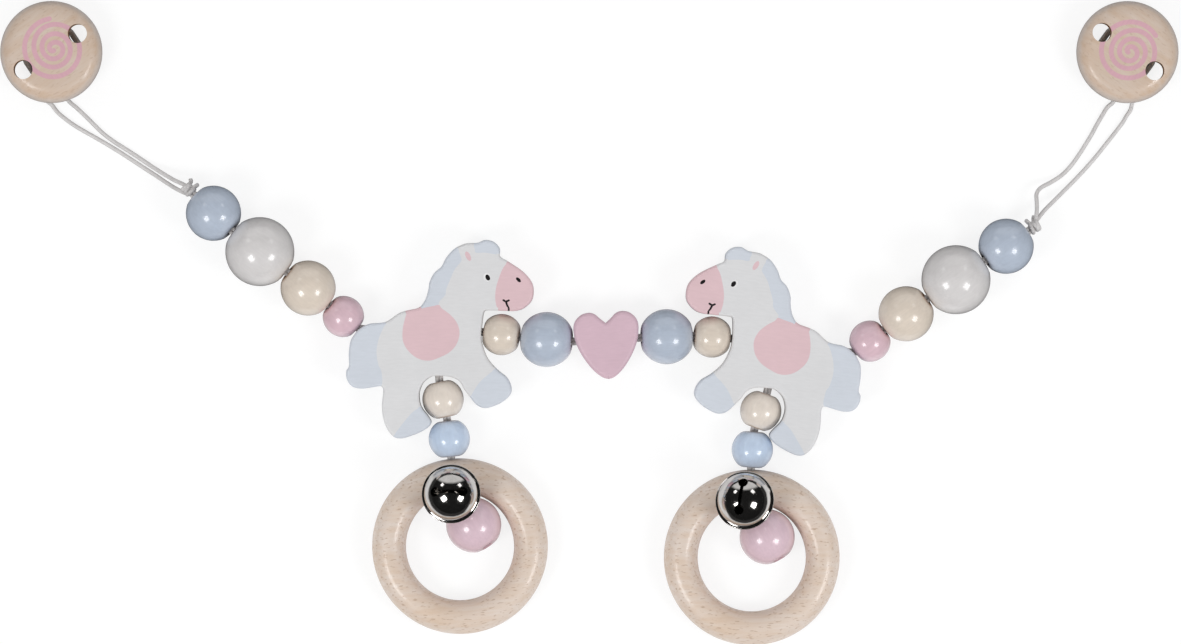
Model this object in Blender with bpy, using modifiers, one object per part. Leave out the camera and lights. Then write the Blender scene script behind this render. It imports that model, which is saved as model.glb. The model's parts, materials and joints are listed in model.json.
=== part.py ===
"""Pram chain toy: wooden beads, two horses and a heart on a doubled cord, with a clip at each end.

It lies on a table as in a picture taken from above: X to the right, Y up the picture, Z up from
the table, which is Z = 0. Each half of the chain is laid out from the heart outwards. Every bead
and horse has its own length of the doubled cord through its bore, and each length turns on the
one before it at the middle of the gap between the two pieces.
"""
import math

import bmesh
import bpy
from mathutils import Matrix, Vector

MM = 0.001
UP = Vector((0.0, 0.0, 1.0))

# Cord
STRAND_DIAMETER = 1.5 * MM
STRAND_PITCH = 1.4 * MM
CORD_CLEARANCE = 0.28 * MM
KNOT_DIAMETER = 4.6 * MM
KNOT_LENGTH = 5.2 * MM

# Beads
SMALL_BEAD = 15 * MM
BEAD = 20 * MM
LARGE_BEAD = 25 * MM
BORE_DIAMETER = 3.9 * MM
BEAD_END_RADIUS = 3.65 * MM
BEAD_SEAT_RADIUS = 2.6 * MM
BEAD_RELIEF_RADIUS = 4.3 * MM
BEAD_GAP = 0.7 * MM
PENDANT_GAP = 1.4 * MM

# Heart
HEART_WIDTH = 23.6 * MM
HEART_HEIGHT = 24.4 * MM
HEART_THICKNESS = 12 * MM
HEART_EDGE = 1.5 * MM
HEART_BORE_SHARE = 0.586
HEART_SIDE_SHARE = 0.965
HEART_SIDE_CLEARANCE = 0.45 * MM
HEART_TILT = 3.3

# Horses
HORSE_LENGTH = 67.8 * MM
HORSE_HEIGHT = 71.9 * MM
HORSE_THICKNESS = 15 * MM
HORSE_EDGE = 1.2 * MM
CHEST_MOUTH_SHARES = (0.728, 0.537)
TAIL_MOUTH_SHARES = (0.058, 0.552)
BELLY_MOUTH_SHARES = (0.494, 0.315)
BELLY_BORE_DIAMETER = 4.7 * MM
BELLY_CORD_DEPTH = 1.2 * MM
BELLY_CORD_DROP = 1.8 * MM

# Rings
RING_DIAMETER = 63.8 * MM
RING_BAR = 12.3 * MM

# Bells
BELL_DIAMETER = 19.8 * MM
BELL_RIM = 21.3 * MM
BELL_WALL = 0.5 * MM
BELL_RIM_THICKNESS = 0.5 * MM
BELL_RIM_GAP = 0.3 * MM
BELL_SLOT_LENGTH = 10.0 * MM
BELL_SLOT_WIDTH = 1.2 * MM
BELL_SLOT_HOLE = 3.4 * MM
BELL_BALL = 5 * MM
BELL_BALL_CLEARANCE = 0.3 * MM
BELL_REACH = 17.4 * MM
BAIL_WIRE = 1.1 * MM
BAIL_WIDTH = 6.4 * MM
BAIL_CLEARANCE = 0.5 * MM
BAIL_ROOT = 0.9 * MM

# End clips
DISC_DIAMETER = 37 * MM
DISC_THICKNESS = 8 * MM
DISC_FACE_ROUND = 6.0 * MM
DISC_BACK_ROUND = 0.8 * MM
VENT_DIAMETER = 6.9 * MM
VENT_OFFSET = 11.8 * MM
WIRE_DIAMETER = 2.2 * MM
WIRE_WIDTH = 19.4 * MM
WIRE_CORNER = 2.0 * MM
BAR_CORNER = 4.0 * MM
WIRE_HEIGHT = 3.2 * MM
HINGE_PLACE = -4.0 * MM
CORD_BAR_PLACE = 15.5 * MM
CORD_PLACE = 12.2 * MM
SHEET = 0.8 * MM
PLATE_WIDTH = 15 * MM
PLATE_NOSE = -11 * MM
PLATE_TAIL = 9 * MM
PLATE_CORNER = 2.5 * MM
EAR_LENGTH = 4.4 * MM
HINGE_CLEARANCE = 0.3 * MM
LEVER_SIDE_GAP = 0.4 * MM
LEVER_TIP = 9.5 * MM
KNUCKLE_WALL = 0.75 * MM
CAM_CLEARANCE = 0.3 * MM
RIVET_DIAMETER = 3.6 * MM
RIVET_LENGTH = 3.0 * MM
RIVET_CLEARANCE = 0.3 * MM
FIT_GAP = 0.3 * MM

# How far each length of cord turns on the one before it, in degrees, which sets where it stops
BEND = 12.0
PENDANT_BEND = 24.0
LEVER_CURL = 20.0

# Cutters run past the faces that they cut by this much
OVERRUN = 1.0 * MM
MERGE = 0.002 * MM

# Facets round a turned piece, and along the arc of a bead
BEAD_STEPS = 16
BEAD_ARC_STEPS = 5
SMALL_BEAD_ARC_STEPS = 4
DISC_STEPS = 24
BELL_STEPS = 18
BORE_STEPS = 10
VENT_STEPS = 16
DISC_ARC_STEPS = 5
BELL_ARC_STEPS = 4
BALL_STEPS = 12
BAIL_ARC_STEPS = 4
RING_STEPS = 32
RING_BAR_STEPS = 10
CORD_ARC_STEPS = 6
KNOT_STEPS = 12
KNUCKLE_ARC_STEPS = 9
WIRE_CORNER_STEPS = 5
PLATE_CORNER_STEPS = 2

# Outward headings of the pieces, in degrees above the picture's horizontal
HEADINGS = {
    "left": {"blue_inner": 4.6, "cream_small": 8.4, "pink": 41.1, "cream": 37.6, "white": 36.8,
             "blue_outer": 43.0, "upper_drop": -78.0, "lower_drop": -84.0, "ring_drop": -84.4},
    "right": {"blue_inner": 2.3, "cream_small": -4.3, "pink": 38.9, "cream": 36.1, "white": 33.2,
              "blue_outer": 34.2, "upper_drop": -110.0, "lower_drop": -94.5, "ring_drop": -89.4},
}
SIDE_SIGNS = {"left": -1.0, "right": 1.0}
HORSE_TURNS = {"left": 0.0, "right": -8.0}
CLIP_TURNS = {"left": -56.4, "right": -126.0}
BELL_LEANS = {"left": (-4.8, -7.3), "right": (-10.5, -12.6)}
SLOT_TURNS = {"left": 0.0, "right": 81.0}

# The picture's scale, for what lies on the table: the middle of the picture is X = Y = 0
PIXEL = 0.3625 * MM
PICTURE_MIDDLE = (590.5, 322.0)
HEART_PIXEL = (606.6, 339.7)
DISC_PIXELS = {"left": (51.0, 51.9), "right": (1127.7, 52.0)}
KNOT_PIXELS = {"left": (194.32, 195.28), "right": (1027.76, 231.41)}

# Where the cord under a bell lies: past the mouth of the ring's bore, and right of it
BELL_CORD_PLACE = (2.3 * MM, 0.45 * MM)

# Where the pink bead lies on the table, past that mouth and right of it, unless the bell is too low
# to leave it this clearance. Its bore rises by the angle, in degrees
PENDANT_PINK_PLACE = (12.1 * MM, 5.6 * MM)
PENDANT_PINK_CLEARANCE = 0.5 * MM
PENDANT_PINK_RISE = 9.0

# The end cords, each strand from the knot to the clip, in pixels, with heights in millimetres
END_CORD_ROUTES = {
    "left": (
        ((186.2, 193.2, 8.9), (176.5, 189.0, 6.4), (165.9, 182.6, 3.8), (154.2, 174.9, 1.9),
         (142.2, 167.2, 0.95), (130.2, 159.3, 0.8), (118.0, 151.4, 0.8), (105.9, 144.0, 0.8),
         (93.1, 136.6, 0.8), (80.4, 129.4, 0.8), (69.4, 122.5, 0.8)),
        ((74.7, 106.9, 0.8), (83.4, 115.0, 0.8), (92.5, 124.0, 0.8), (102.1, 133.3, 0.8),
         (113.1, 141.5, 0.8), (125.0, 149.0, 0.8), (137.0, 156.8, 0.9), (149.1, 165.0, 1.5),
         (160.8, 172.4, 3.2), (172.5, 179.4, 5.6), (184.6, 185.1, 8.2)),
    ),
    "right": (
        ((1036.5, 221.2, 8.2), (1044.0, 211.5, 6.0), (1053.6, 201.9, 3.6), (1064.1, 191.6, 1.8),
         (1074.7, 181.1, 0.9), (1085.1, 170.2, 0.8), (1095.5, 158.4, 0.8), (1105.4, 146.2, 0.8),
         (1115.0, 134.1, 0.8), (1123.6, 122.8, 0.8)),
        ((1104.2, 114.0, 0.8), (1098.8, 123.3, 0.8), (1093.3, 133.5, 0.8), (1086.9, 144.2, 0.8),
         (1079.9, 155.0, 0.8), (1072.3, 165.4, 0.85), (1063.0, 174.8, 1.2), (1051.6, 182.2, 2.4),
         (1041.5, 187.7, 3.9), (1037.2, 194.0, 5.2), (1037.3, 203.7, 7.2), (1036.7, 213.6, 9.2)),
    ),
}

# How each end cord goes round the corner of its clip's wire, in the clip's frame, in millimetres
CLIP_CORD_ROUTES = {
    "left": ((20.3, -10.2, 0.8), (17.9, -10.6, 0.8), (15.8, -10.7, 1.0), (14.2, -11.2, 2.4),
             (13.1, -11.1, 4.5), (12.5, -9.8, 5.3), (12.1, -8.4, 5.0), (12.0, -7.2, 3.4),
             (12.7, -6.2, 1.6), (14.4, -5.5, 0.9), (16.4, -5.0, 0.8), (18.7, -4.7, 0.8)),
    "right": ((18.2, 13.6, 0.8), (15.9, 13.5, 0.8), (13.9, 12.7, 1.0), (12.6, 12.1, 2.6),
              (11.9, 11.2, 4.6), (12.0, 9.7, 5.3), (12.1, 8.4, 5.0), (12.2, 7.2, 3.4),
              (12.9, 6.4, 1.6), (14.4, 6.3, 0.9), (16.0, 6.5, 0.8), (17.7, 6.7, 0.8),
              (20.1, 6.1, 0.8)),
}
END_CORD_SPACING = 4.2 * MM
RING_CORD_SPACING = 2.6 * MM

# Outlines, as shares of the width and height
HORSE_OUTLINE_SHARES = (
    (0.703, 0.986), (0.742, 1.000), (0.789, 0.990), (0.818, 0.958), (0.821, 0.918),
    (0.861, 0.894), (0.942, 0.842), (0.989, 0.789), (1.000, 0.741), (0.989, 0.693),
    (0.946, 0.655), (0.899, 0.642), (0.840, 0.643), (0.752, 0.645), (0.734, 0.634),
    (0.725, 0.580), (0.720, 0.524), (0.725, 0.476), (0.754, 0.404), (0.806, 0.347),
    (0.857, 0.307), (0.881, 0.259), (0.874, 0.219), (0.831, 0.182), (0.772, 0.158),
    (0.733, 0.154), (0.695, 0.170), (0.652, 0.219), (0.627, 0.251), (0.606, 0.285),
    (0.567, 0.307), (0.507, 0.315), (0.456, 0.311), (0.413, 0.283), (0.390, 0.235),
    (0.391, 0.186), (0.405, 0.151), (0.436, 0.113), (0.452, 0.083), (0.436, 0.057),
    (0.396, 0.032), (0.337, 0.010), (0.290, 0.000), (0.251, 0.010), (0.217, 0.050),
    (0.196, 0.106), (0.190, 0.170), (0.197, 0.238), (0.186, 0.262), (0.149, 0.259),
    (0.081, 0.251), (0.030, 0.263), (0.003, 0.299), (0.000, 0.339), (0.014, 0.366),
    (0.013, 0.428), (0.021, 0.486), (0.038, 0.518), (0.070, 0.552), (0.124, 0.578),
    (0.209, 0.587), (0.277, 0.629), (0.324, 0.645), (0.388, 0.660), (0.422, 0.700),
    (0.438, 0.749), (0.445, 0.789), (0.470, 0.834), (0.508, 0.866), (0.533, 0.910),
    (0.575, 0.954), (0.627, 0.979), (0.661, 0.984),
)
HEART_HALF_OUTLINE_SHARES = (
    (0.00, 0.835), (0.19, 0.915), (0.31, 0.970), (0.48, 1.000), (0.70, 0.983),
    (0.87, 0.925), (0.97, 0.850), (1.00, 0.770), (0.99, 0.690), (0.965, 0.600),
    (0.86, 0.450), (0.68, 0.290), (0.45, 0.140), (0.20, 0.035),
)

COLOURS = {
    "blue": ((0.45, 0.52, 0.68), 0.35, 0.0),
    "cream": ((0.75, 0.62, 0.48), 0.35, 0.0),
    "pink": ((0.68, 0.42, 0.52), 0.35, 0.0),
    "white": ((0.72, 0.69, 0.69), 0.35, 0.0),
    "horse": ((0.74, 0.74, 0.75), 0.45, 0.0),
    "heart": ((0.66, 0.42, 0.50), 0.4, 0.0),
    "beech": ((0.70, 0.55, 0.40), 0.5, 0.0),
    "cord": ((0.72, 0.70, 0.68), 0.6, 0.0),
    "nickel": ((0.62, 0.62, 0.64), 0.15, 1.0),
    "steel": ((0.45, 0.44, 0.44), 0.3, 1.0),
}


def clear_scene():
    for item in list(bpy.data.objects):
        bpy.data.objects.remove(item, do_unlink=True)


def make_collection(name):
    group = bpy.data.collections.new(name)
    bpy.context.scene.collection.children.link(group)
    return group


def make_material(name):
    colour, roughness, metallic = COLOURS[name]
    material = bpy.data.materials.new(name)
    material.use_nodes = True
    shader = material.node_tree.nodes["Principled BSDF"]
    shader.inputs["Base Color"].default_value = (*colour, 1.0)
    shader.inputs["Roughness"].default_value = roughness
    shader.inputs["Metallic"].default_value = metallic
    return material


clear_scene()
PARTS = make_collection("pram_chain_toy")
CUTTERS = make_collection("pram_chain_toy_cutters")
MATERIALS = {name: make_material(name) for name in COLOURS}


# Objects

def place(item, matrix, parent=None):
    """Puts an object in the world, and keeps it there when it becomes a child of another."""
    item.matrix_world = matrix
    if parent:
        item.parent = parent
        item.matrix_parent_inverse = parent.matrix_world.inverted()
        item.matrix_basis = matrix
    return item


def add_piece(name, mesh, material, matrix, parent=None):
    item = bpy.data.objects.new(name, mesh)
    PARTS.objects.link(item)
    mesh.materials.clear()
    mesh.materials.append(MATERIALS[material])
    return place(item, matrix, parent)


def smooth(mesh, degrees=40.0):
    mesh.shade_smooth()
    mesh.set_sharp_from_angle(angle=math.radians(degrees))
    return mesh


def curve_mesh(name, curve):
    """A curve's evaluated solid, with its caps joined to its sides."""
    item = bpy.data.objects.new(name, curve)
    CUTTERS.objects.link(item)
    bpy.context.view_layer.update()
    evaluated = item.evaluated_get(bpy.context.evaluated_depsgraph_get())
    mesh = bpy.data.meshes.new_from_object(evaluated)
    bpy.data.objects.remove(item, do_unlink=True)
    form = bmesh.new()
    form.from_mesh(mesh)
    bmesh.ops.remove_doubles(form, verts=form.verts, dist=MERGE)
    bmesh.ops.recalc_face_normals(form, faces=form.faces)
    form.to_mesh(mesh)
    form.free()
    return mesh


def flat_mesh(name, outlines, thickness):
    """A plate whose middle is z = 0: the first outline is its edge, and the others are holes."""
    curve = bpy.data.curves.new(name, "CURVE")
    curve.dimensions = "2D"
    curve.fill_mode = "BOTH"
    curve.extrude = thickness / 2
    for outline in outlines:
        spline = curve.splines.new("POLY")
        spline.points.add(len(outline) - 1)
        for point, (x, y) in zip(spline.points, outline):
            point.co = (x, y, 0.0, 1.0)
        spline.use_cyclic_u = True
    return curve_mesh(name, curve)


def tube_mesh(name, points, diameter, cyclic=False):
    """A round tube of eight sides along the points."""
    curve = bpy.data.curves.new(name, "CURVE")
    curve.dimensions = "3D"
    curve.bevel_depth = diameter / 2
    curve.bevel_resolution = 2
    curve.use_fill_caps = not cyclic
    spline = curve.splines.new("POLY")
    spline.points.add(len(points) - 1)
    for point, place_of_point in zip(spline.points, points):
        point.co = (*place_of_point, 1.0)
    spline.use_cyclic_u = cyclic
    return curve_mesh(name, curve)


def turned_modifier(item, steps):
    screw = item.modifiers.new("turn", "SCREW")
    screw.axis = "Z"
    screw.angle = math.tau
    screw.steps = steps
    screw.render_steps = steps
    screw.use_merge_vertices = True
    screw.merge_threshold = MERGE
    screw.use_smooth_shade = False


def turned_mesh(name, profile, steps, closed):
    """A solid turned round Z from (radius, height) points that run down its outer side."""
    mesh = bpy.data.meshes.new(name)
    count = len(profile)
    edges = [(i, i + 1) for i in range(count - 1)]
    if closed:
        edges.append((count - 1, 0))
    mesh.from_pydata([(radius, 0.0, height) for radius, height in profile], edges, [])
    item = bpy.data.objects.new(name, mesh)
    CUTTERS.objects.link(item)
    turned_modifier(item, steps)
    bpy.context.view_layer.update()
    evaluated = item.evaluated_get(bpy.context.evaluated_depsgraph_get())
    result = bpy.data.meshes.new_from_object(evaluated)
    bpy.data.objects.remove(item, do_unlink=True)
    return smooth(result)


def cylinder_mesh(name, diameter, start, end, steps=BORE_STEPS):
    """A cylinder along Z between two heights."""
    form = bmesh.new()
    bmesh.ops.create_cone(form, cap_ends=True, segments=steps, radius1=diameter / 2,
                          radius2=diameter / 2, depth=end - start,
                          matrix=Matrix.Translation((0.0, 0.0, (start + end) / 2)))
    mesh = bpy.data.meshes.new(name)
    form.to_mesh(mesh)
    form.free()
    return mesh


def box_mesh(name, low, high):
    form = bmesh.new()
    size = Vector(high) - Vector(low)
    middle = (Vector(high) + Vector(low)) / 2
    matrix = Matrix.Translation(middle) @ Matrix.Diagonal((*size, 1.0))
    bmesh.ops.create_cube(form, size=1.0, matrix=matrix)
    mesh = bpy.data.meshes.new(name)
    form.to_mesh(mesh)
    form.free()
    return mesh


def combine(item, mesh, matrix, operation):
    """Cuts a mesh out of a piece, or joins it on, by a Boolean whose other solid stays hidden."""
    other = bpy.data.objects.new(f"{item.name}_{mesh.name}", mesh)
    CUTTERS.objects.link(other)
    other.hide_render = True
    other.display_type = "WIRE"
    place(other, item.matrix_world @ matrix, item)
    boolean = item.modifiers.new(mesh.name, "BOOLEAN")
    boolean.object = other
    boolean.operation = operation


def cut(item, mesh, matrix=Matrix()):
    combine(item, mesh, matrix, "DIFFERENCE")


def join(item, mesh, matrix=Matrix()):
    combine(item, mesh, matrix, "UNION")


def round_edges(item, width, segments=1):
    bevel = item.modifiers.new("edges", "BEVEL")
    bevel.width = width
    bevel.segments = segments
    bevel.limit_method = "ANGLE"
    bevel.angle_limit = math.radians(60.0)


# Directions and curves

def heading_vector(degrees, sign=1.0, rise=0.0):
    """A unit vector at a heading in the picture, with a rise towards +Z in radians."""
    angle = math.radians(degrees)
    return Vector((sign * math.cos(angle) * math.cos(rise), math.sin(angle) * math.cos(rise),
                   math.sin(rise)))


def axes_frame(origin, x_axis, y_axis, z_axis):
    return Matrix.Translation(origin) @ Matrix((x_axis, y_axis, z_axis)).transposed().to_4x4()


def bore_frame(origin, direction):
    """Local Z along a bore, and local X level, square to it."""
    side = UP.cross(direction).normalized()
    return axes_frame(origin, side, direction.cross(side), direction)


def from_pixel(pixel, start, height):
    """The way in the picture from one pixel to another, at a height above the table."""
    return Vector(((pixel[0] - start[0]) * PIXEL, (start[1] - pixel[1]) * PIXEL, height))


def from_knot(side, knot, pixel, height):
    """A place of the end cord or the clip, measured in the picture from the knot that holds them."""
    way = from_pixel(pixel, KNOT_PIXELS[side], height)
    return Vector((knot.x + way.x, knot.y + way.y, height))


def smooth_path(points, spacing):
    """Points about a spacing apart on a Catmull-Rom curve through the given ones."""
    ends = [points[0] * 2 - points[1], *points, points[-1] * 2 - points[-2]]
    dense = []
    for i in range(1, len(ends) - 2):
        p0, p1, p2, p3 = ends[i - 1:i + 3]
        count = max(2, round((p2 - p1).length / spacing))
        for k in range(count):
            t = k / count
            dense.append(0.5 * (2 * p1 + (p2 - p0) * t + (2 * p0 - 5 * p1 + 4 * p2 - p3) * t ** 2
                                + (3 * p1 - p0 - 3 * p2 + p3) * t ** 3))
    dense.append(points[-1])
    return dense


# Beads and cord

def bead_half(diameter):
    """Half a bead's length along its bore."""
    return math.sqrt((diameter / 2) ** 2 - BEAD_END_RADIUS ** 2)


def bead_mesh(name, diameter):
    """A sphere cut flat at both ends, with a seat round the bore that a cone joins to the sphere."""
    radius = diameter / 2
    end = bead_half(diameter)
    first = math.asin(BEAD_RELIEF_RADIUS / radius)
    steps = SMALL_BEAD_ARC_STEPS if diameter == SMALL_BEAD else BEAD_ARC_STEPS
    angles = [first + (math.pi - 2 * first) * k / steps for k in range(steps + 1)]
    profile = [(BORE_DIAMETER / 2, end), (BEAD_SEAT_RADIUS, end)]
    profile += [(radius * math.sin(angle), radius * math.cos(angle)) for angle in angles]
    profile += [(BEAD_SEAT_RADIUS, -end), (BORE_DIAMETER / 2, -end)]
    return turned_mesh(name, profile, BEAD_STEPS, closed=True)


def cord_outline():
    """The doubled cord's section: two round strands side by side that just run together."""
    radius = STRAND_DIAMETER / 2
    widest = math.pi - math.acos(STRAND_PITCH / 2 / radius)
    points = []
    for sign in (1.0, -1.0):
        for k in range(CORD_ARC_STEPS):
            angle = widest * (2 * k / CORD_ARC_STEPS - 1)
            points.append((sign * (STRAND_PITCH / 2 + radius * math.cos(angle)),
                           sign * radius * math.sin(angle)))
    return points


def cord_mesh(name, start, end):
    """A straight length of doubled cord along Z between two distances."""
    mesh = flat_mesh(name, [cord_outline()], end - start)
    mesh.transform(Matrix.Translation((0.0, 0.0, (start + end) / 2)))
    return smooth(mesh, 60.0)


def cord_stop(kink, bend=BEND):
    """How far from its turning point a length of cord ends, so that it clears the next one."""
    half_width = (STRAND_PITCH + STRAND_DIAMETER) / 2
    return half_width * math.tan((kink + math.radians(bend)) / 2) + CORD_CLEARANCE / 2


class Stop:
    """One turning point of the chain, with the direction of the cord on each side of it."""

    def __init__(self, place_of_stop, inner, outer, bend=BEND):
        self.place = place_of_stop
        self.cut = cord_stop(inner.angle(outer), bend)


# The heart

def heart_outline():
    half = [Vector((x * HEART_WIDTH / 2, y * HEART_HEIGHT)) for x, y in HEART_HALF_OUTLINE_SHARES]
    tip = [Vector((0.0, 0.0))]
    left = [Vector((-point.x, point.y)) for point in half[:0:-1]]
    middle = Vector((0.0, HEART_BORE_SHARE * HEART_HEIGHT))
    return [point - middle for point in half + tip + left]


def heart_reach():
    """From the heart's middle to the turning point beside it."""
    return HEART_SIDE_SHARE * HEART_WIDTH / 2 + HEART_SIDE_CLEARANCE + BEAD_GAP / 2


def add_heart(middle, direction, parent):
    """The heart lies flat, with its bore along local X."""
    frame = axes_frame(middle, direction, UP.cross(direction), UP)
    mesh = flat_mesh("heart", [heart_outline()[::-1]], HEART_THICKNESS)
    item = add_piece("heart", mesh, "heart", frame, parent)
    round_edges(item, HEART_EDGE, 2)
    reach = HEART_WIDTH / 2 + OVERRUN
    bore = cylinder_mesh("heart_bore", BORE_DIAMETER, -reach, reach)
    cut(item, bore, Matrix.Rotation(math.pi / 2, 4, "Y"))
    return item


# The horses

def horse_point(shares):
    return Vector((shares[0] * HORSE_LENGTH, shares[1] * HORSE_HEIGHT))


def horse_middle():
    return (horse_point(CHEST_MOUTH_SHARES) + horse_point(TAIL_MOUTH_SHARES)) / 2


def horse_local(shares, facing):
    """A point of the horse's outline, from the middle of its long bore."""
    point = horse_point(shares) - horse_middle()
    return Vector((point.x * facing, point.y, 0.0))


def horse_frame(side, chest):
    """A horse lies flat on the table with its chest's turning point where the chain has come to."""
    facing = -SIDE_SIGNS[side]
    turn = Matrix.Rotation(math.radians(HORSE_TURNS[side]), 4, "Z")
    middle = chest - turn @ horse_local(CHEST_MOUTH_SHARES, facing)
    return Matrix.Translation(middle) @ turn


def add_horse(side, frame, parent):
    facing = -SIDE_SIGNS[side]
    outline = [horse_local(shares, facing).to_2d() for shares in HORSE_OUTLINE_SHARES]
    mesh = flat_mesh(f"{side}_horse", [outline], HORSE_THICKNESS)
    item = add_piece(f"{side}_horse", mesh, "horse", frame, parent)
    round_edges(item, HORSE_EDGE)
    along = horse_local(TAIL_MOUTH_SHARES, facing)
    reach = along.length + OVERRUN
    long_bore = cylinder_mesh("long_bore", BORE_DIAMETER, -reach, reach)
    cut(item, long_bore, bore_frame(Vector(), along.normalized()))
    belly = horse_local(BELLY_MOUTH_SHARES, facing)
    down = Vector((0.0, -1.0, 0.0))
    depth = -belly.y + OVERRUN
    top = belly - down * depth
    belly_bore = cylinder_mesh("belly_bore", BELLY_BORE_DIAMETER, OVERRUN, depth + OVERRUN)
    cut(item, belly_bore, bore_frame(top, down))
    return item


# Rings and bells

def ring_reach():
    """From the turning point outside the ring to the ring's middle."""
    return BEAD_GAP / 2 + RING_DIAMETER / 2


def add_ring(name, frame, parent):
    """A ring with one bore through its bar, at local -X."""
    bpy.ops.mesh.primitive_torus_add(
        major_segments=RING_STEPS, minor_segments=RING_BAR_STEPS,
        major_radius=(RING_DIAMETER - RING_BAR) / 2, minor_radius=RING_BAR / 2)
    item = bpy.context.object
    mesh = item.data
    bpy.data.objects.remove(item, do_unlink=True)
    item = add_piece(name, smooth(mesh), "beech", frame, parent)
    outer = RING_DIAMETER / 2 + OVERRUN
    inner = RING_DIAMETER / 2 - RING_BAR - OVERRUN
    bore = cylinder_mesh(f"{name}_bore", BORE_DIAMETER, inner, outer)
    cut(item, bore, Matrix.Rotation(-math.pi / 2, 4, "Y"))
    return item


def bell_half_profile(sign):
    """A half of the bell: its shell, and the flat rim where the halves are crimped together."""
    outer = BELL_DIAMETER / 2
    inner = outer - BELL_WALL
    foot = BELL_RIM_GAP / 2
    top = foot + BELL_RIM_THICKNESS
    shell_angle = math.asin(top / outer)
    steps = range(BELL_ARC_STEPS + 1)
    turns = [math.pi / 2 - (math.pi / 2 - shell_angle) * k / BELL_ARC_STEPS for k in steps]
    profile = [(outer * math.cos(turn), outer * math.sin(turn)) for turn in turns]
    profile += [(BELL_RIM / 2, top), (BELL_RIM / 2, foot), (inner, foot)]
    profile += [(inner * math.cos(turn), inner * math.sin(turn)) for turn in turns[-2::-1]]
    profile[0] = (0.0, profile[0][1])
    profile[-1] = (0.0, profile[-1][1])
    if sign < 0:
        profile = [(radius, -height) for radius, height in profile][::-1]
    return profile


def bell_half_mesh(name, sign):
    mesh = turned_mesh(name, bell_half_profile(sign), BELL_STEPS, closed=False)
    mesh.transform(Matrix.Translation((0.0, 0.0, BELL_REACH)))
    return mesh


def add_bell(side, frame, slot_turn, parent):
    """A bell hangs by the eye under it: local Z points from the cord in the eye to the bell."""
    cup = add_piece(f"{side}_bell_cup", bell_half_mesh("cup", -1), "nickel", frame, parent)
    half_width = (BAIL_WIDTH - BAIL_WIRE) / 2
    low = -(STRAND_DIAMETER / 2 + BAIL_CLEARANCE + BAIL_WIRE / 2)
    root = BELL_REACH - math.sqrt((BELL_DIAMETER / 2) ** 2 - half_width ** 2) + BAIL_ROOT / 2
    turns = [math.pi * k / BAIL_ARC_STEPS for k in range(1, BAIL_ARC_STEPS)]
    arc = [(0.0, -half_width * math.cos(turn), low + half_width * (1 - math.sin(turn)))
           for turn in turns]
    eye = [(0.0, -half_width, root), (0.0, -half_width, low + half_width), *arc,
           (0.0, half_width, low + half_width), (0.0, half_width, root)]
    join(cup, tube_mesh("eye", [Vector(point) for point in eye], BAIL_WIRE))
    dome = add_piece(f"{side}_bell_dome", bell_half_mesh("dome", 1), "nickel", frame, cup)
    turn = Matrix.Rotation(math.radians(slot_turn), 4, "Z")
    reach = BELL_SLOT_LENGTH / 2
    middle = Vector((0.0, 0.0, BELL_REACH))
    high = BELL_DIAMETER / 2 + OVERRUN
    low_cut = BELL_DIAMETER / 4
    slot = box_mesh("slot", middle + Vector((-reach, -BELL_SLOT_WIDTH / 2, low_cut)),
                    middle + Vector((reach, BELL_SLOT_WIDTH / 2, high)))
    cut(dome, slot, turn)
    for sign in (-1.0, 1.0):
        hole = cylinder_mesh("slot_hole", BELL_SLOT_HOLE, BELL_REACH + low_cut, BELL_REACH + high)
        cut(dome, hole, turn @ Matrix.Translation((sign * reach, 0.0, 0.0)))
    add_ball(side, frame, cup)
    return cup


def add_ball(side, frame, parent):
    """The loose ball lies at the bottom of the bell."""
    form = bmesh.new()
    bmesh.ops.create_uvsphere(form, u_segments=BALL_STEPS, v_segments=BALL_STEPS // 2,
                              radius=BELL_BALL / 2)
    mesh = bpy.data.meshes.new("bell_ball")
    form.to_mesh(mesh)
    form.free()
    height = BELL_REACH - BELL_DIAMETER / 2 + BELL_WALL + BELL_BALL / 2 + BELL_BALL_CLEARANCE
    matrix = frame @ Matrix.Translation((0.0, 0.0, height))
    add_piece(f"{side}_bell_ball", smooth(mesh), "steel", matrix, parent)


# End clips: local X runs from the disc's middle towards the cord, and Z up from the table

def plate_bottom():
    knuckle = WIRE_DIAMETER / 2 + HINGE_CLEARANCE + KNUCKLE_WALL
    return WIRE_HEIGHT + knuckle + CAM_CLEARANCE


def rounded_rectangle(low, high, radii, steps):
    """The points of a rectangle's edge, anticlockwise. Its low X end has the first radius."""
    points = []
    for quarter, (right, top) in enumerate(((True, True), (False, True), (False, False),
                                            (True, False))):
        radius = radii[right]
        centre = Vector((high[0] - radius if right else low[0] + radius,
                         high[1] - radius if top else low[1] + radius))
        for k in range(steps + 1):
            angle = math.pi / 2 * (quarter + k / steps)
            points.append(centre + Vector((math.cos(angle), math.sin(angle))) * radius)
    return points


def add_wire(side, frame, parent):
    """The wire frame is the clip's hinge pin at one end and the bar for the cord at the other."""
    reach = WIRE_WIDTH / 2
    edge = rounded_rectangle((HINGE_PLACE, -reach), (CORD_BAR_PLACE, reach),
                             (WIRE_CORNER, BAR_CORNER), WIRE_CORNER_STEPS)
    points = [Vector((*point, WIRE_HEIGHT)) for point in edge]
    mesh = smooth(tube_mesh(f"{side}_clip_wire", points, WIRE_DIAMETER, cyclic=True))
    rail = math.copysign(reach, CLIP_CORD_ROUTES[side][0][1])
    local = Matrix.Translation((CORD_PLACE, rail, WIRE_HEIGHT))
    mesh.transform(local.inverted())
    return add_piece(f"{side}_clip_wire", mesh, "steel", frame @ local, parent)


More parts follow.
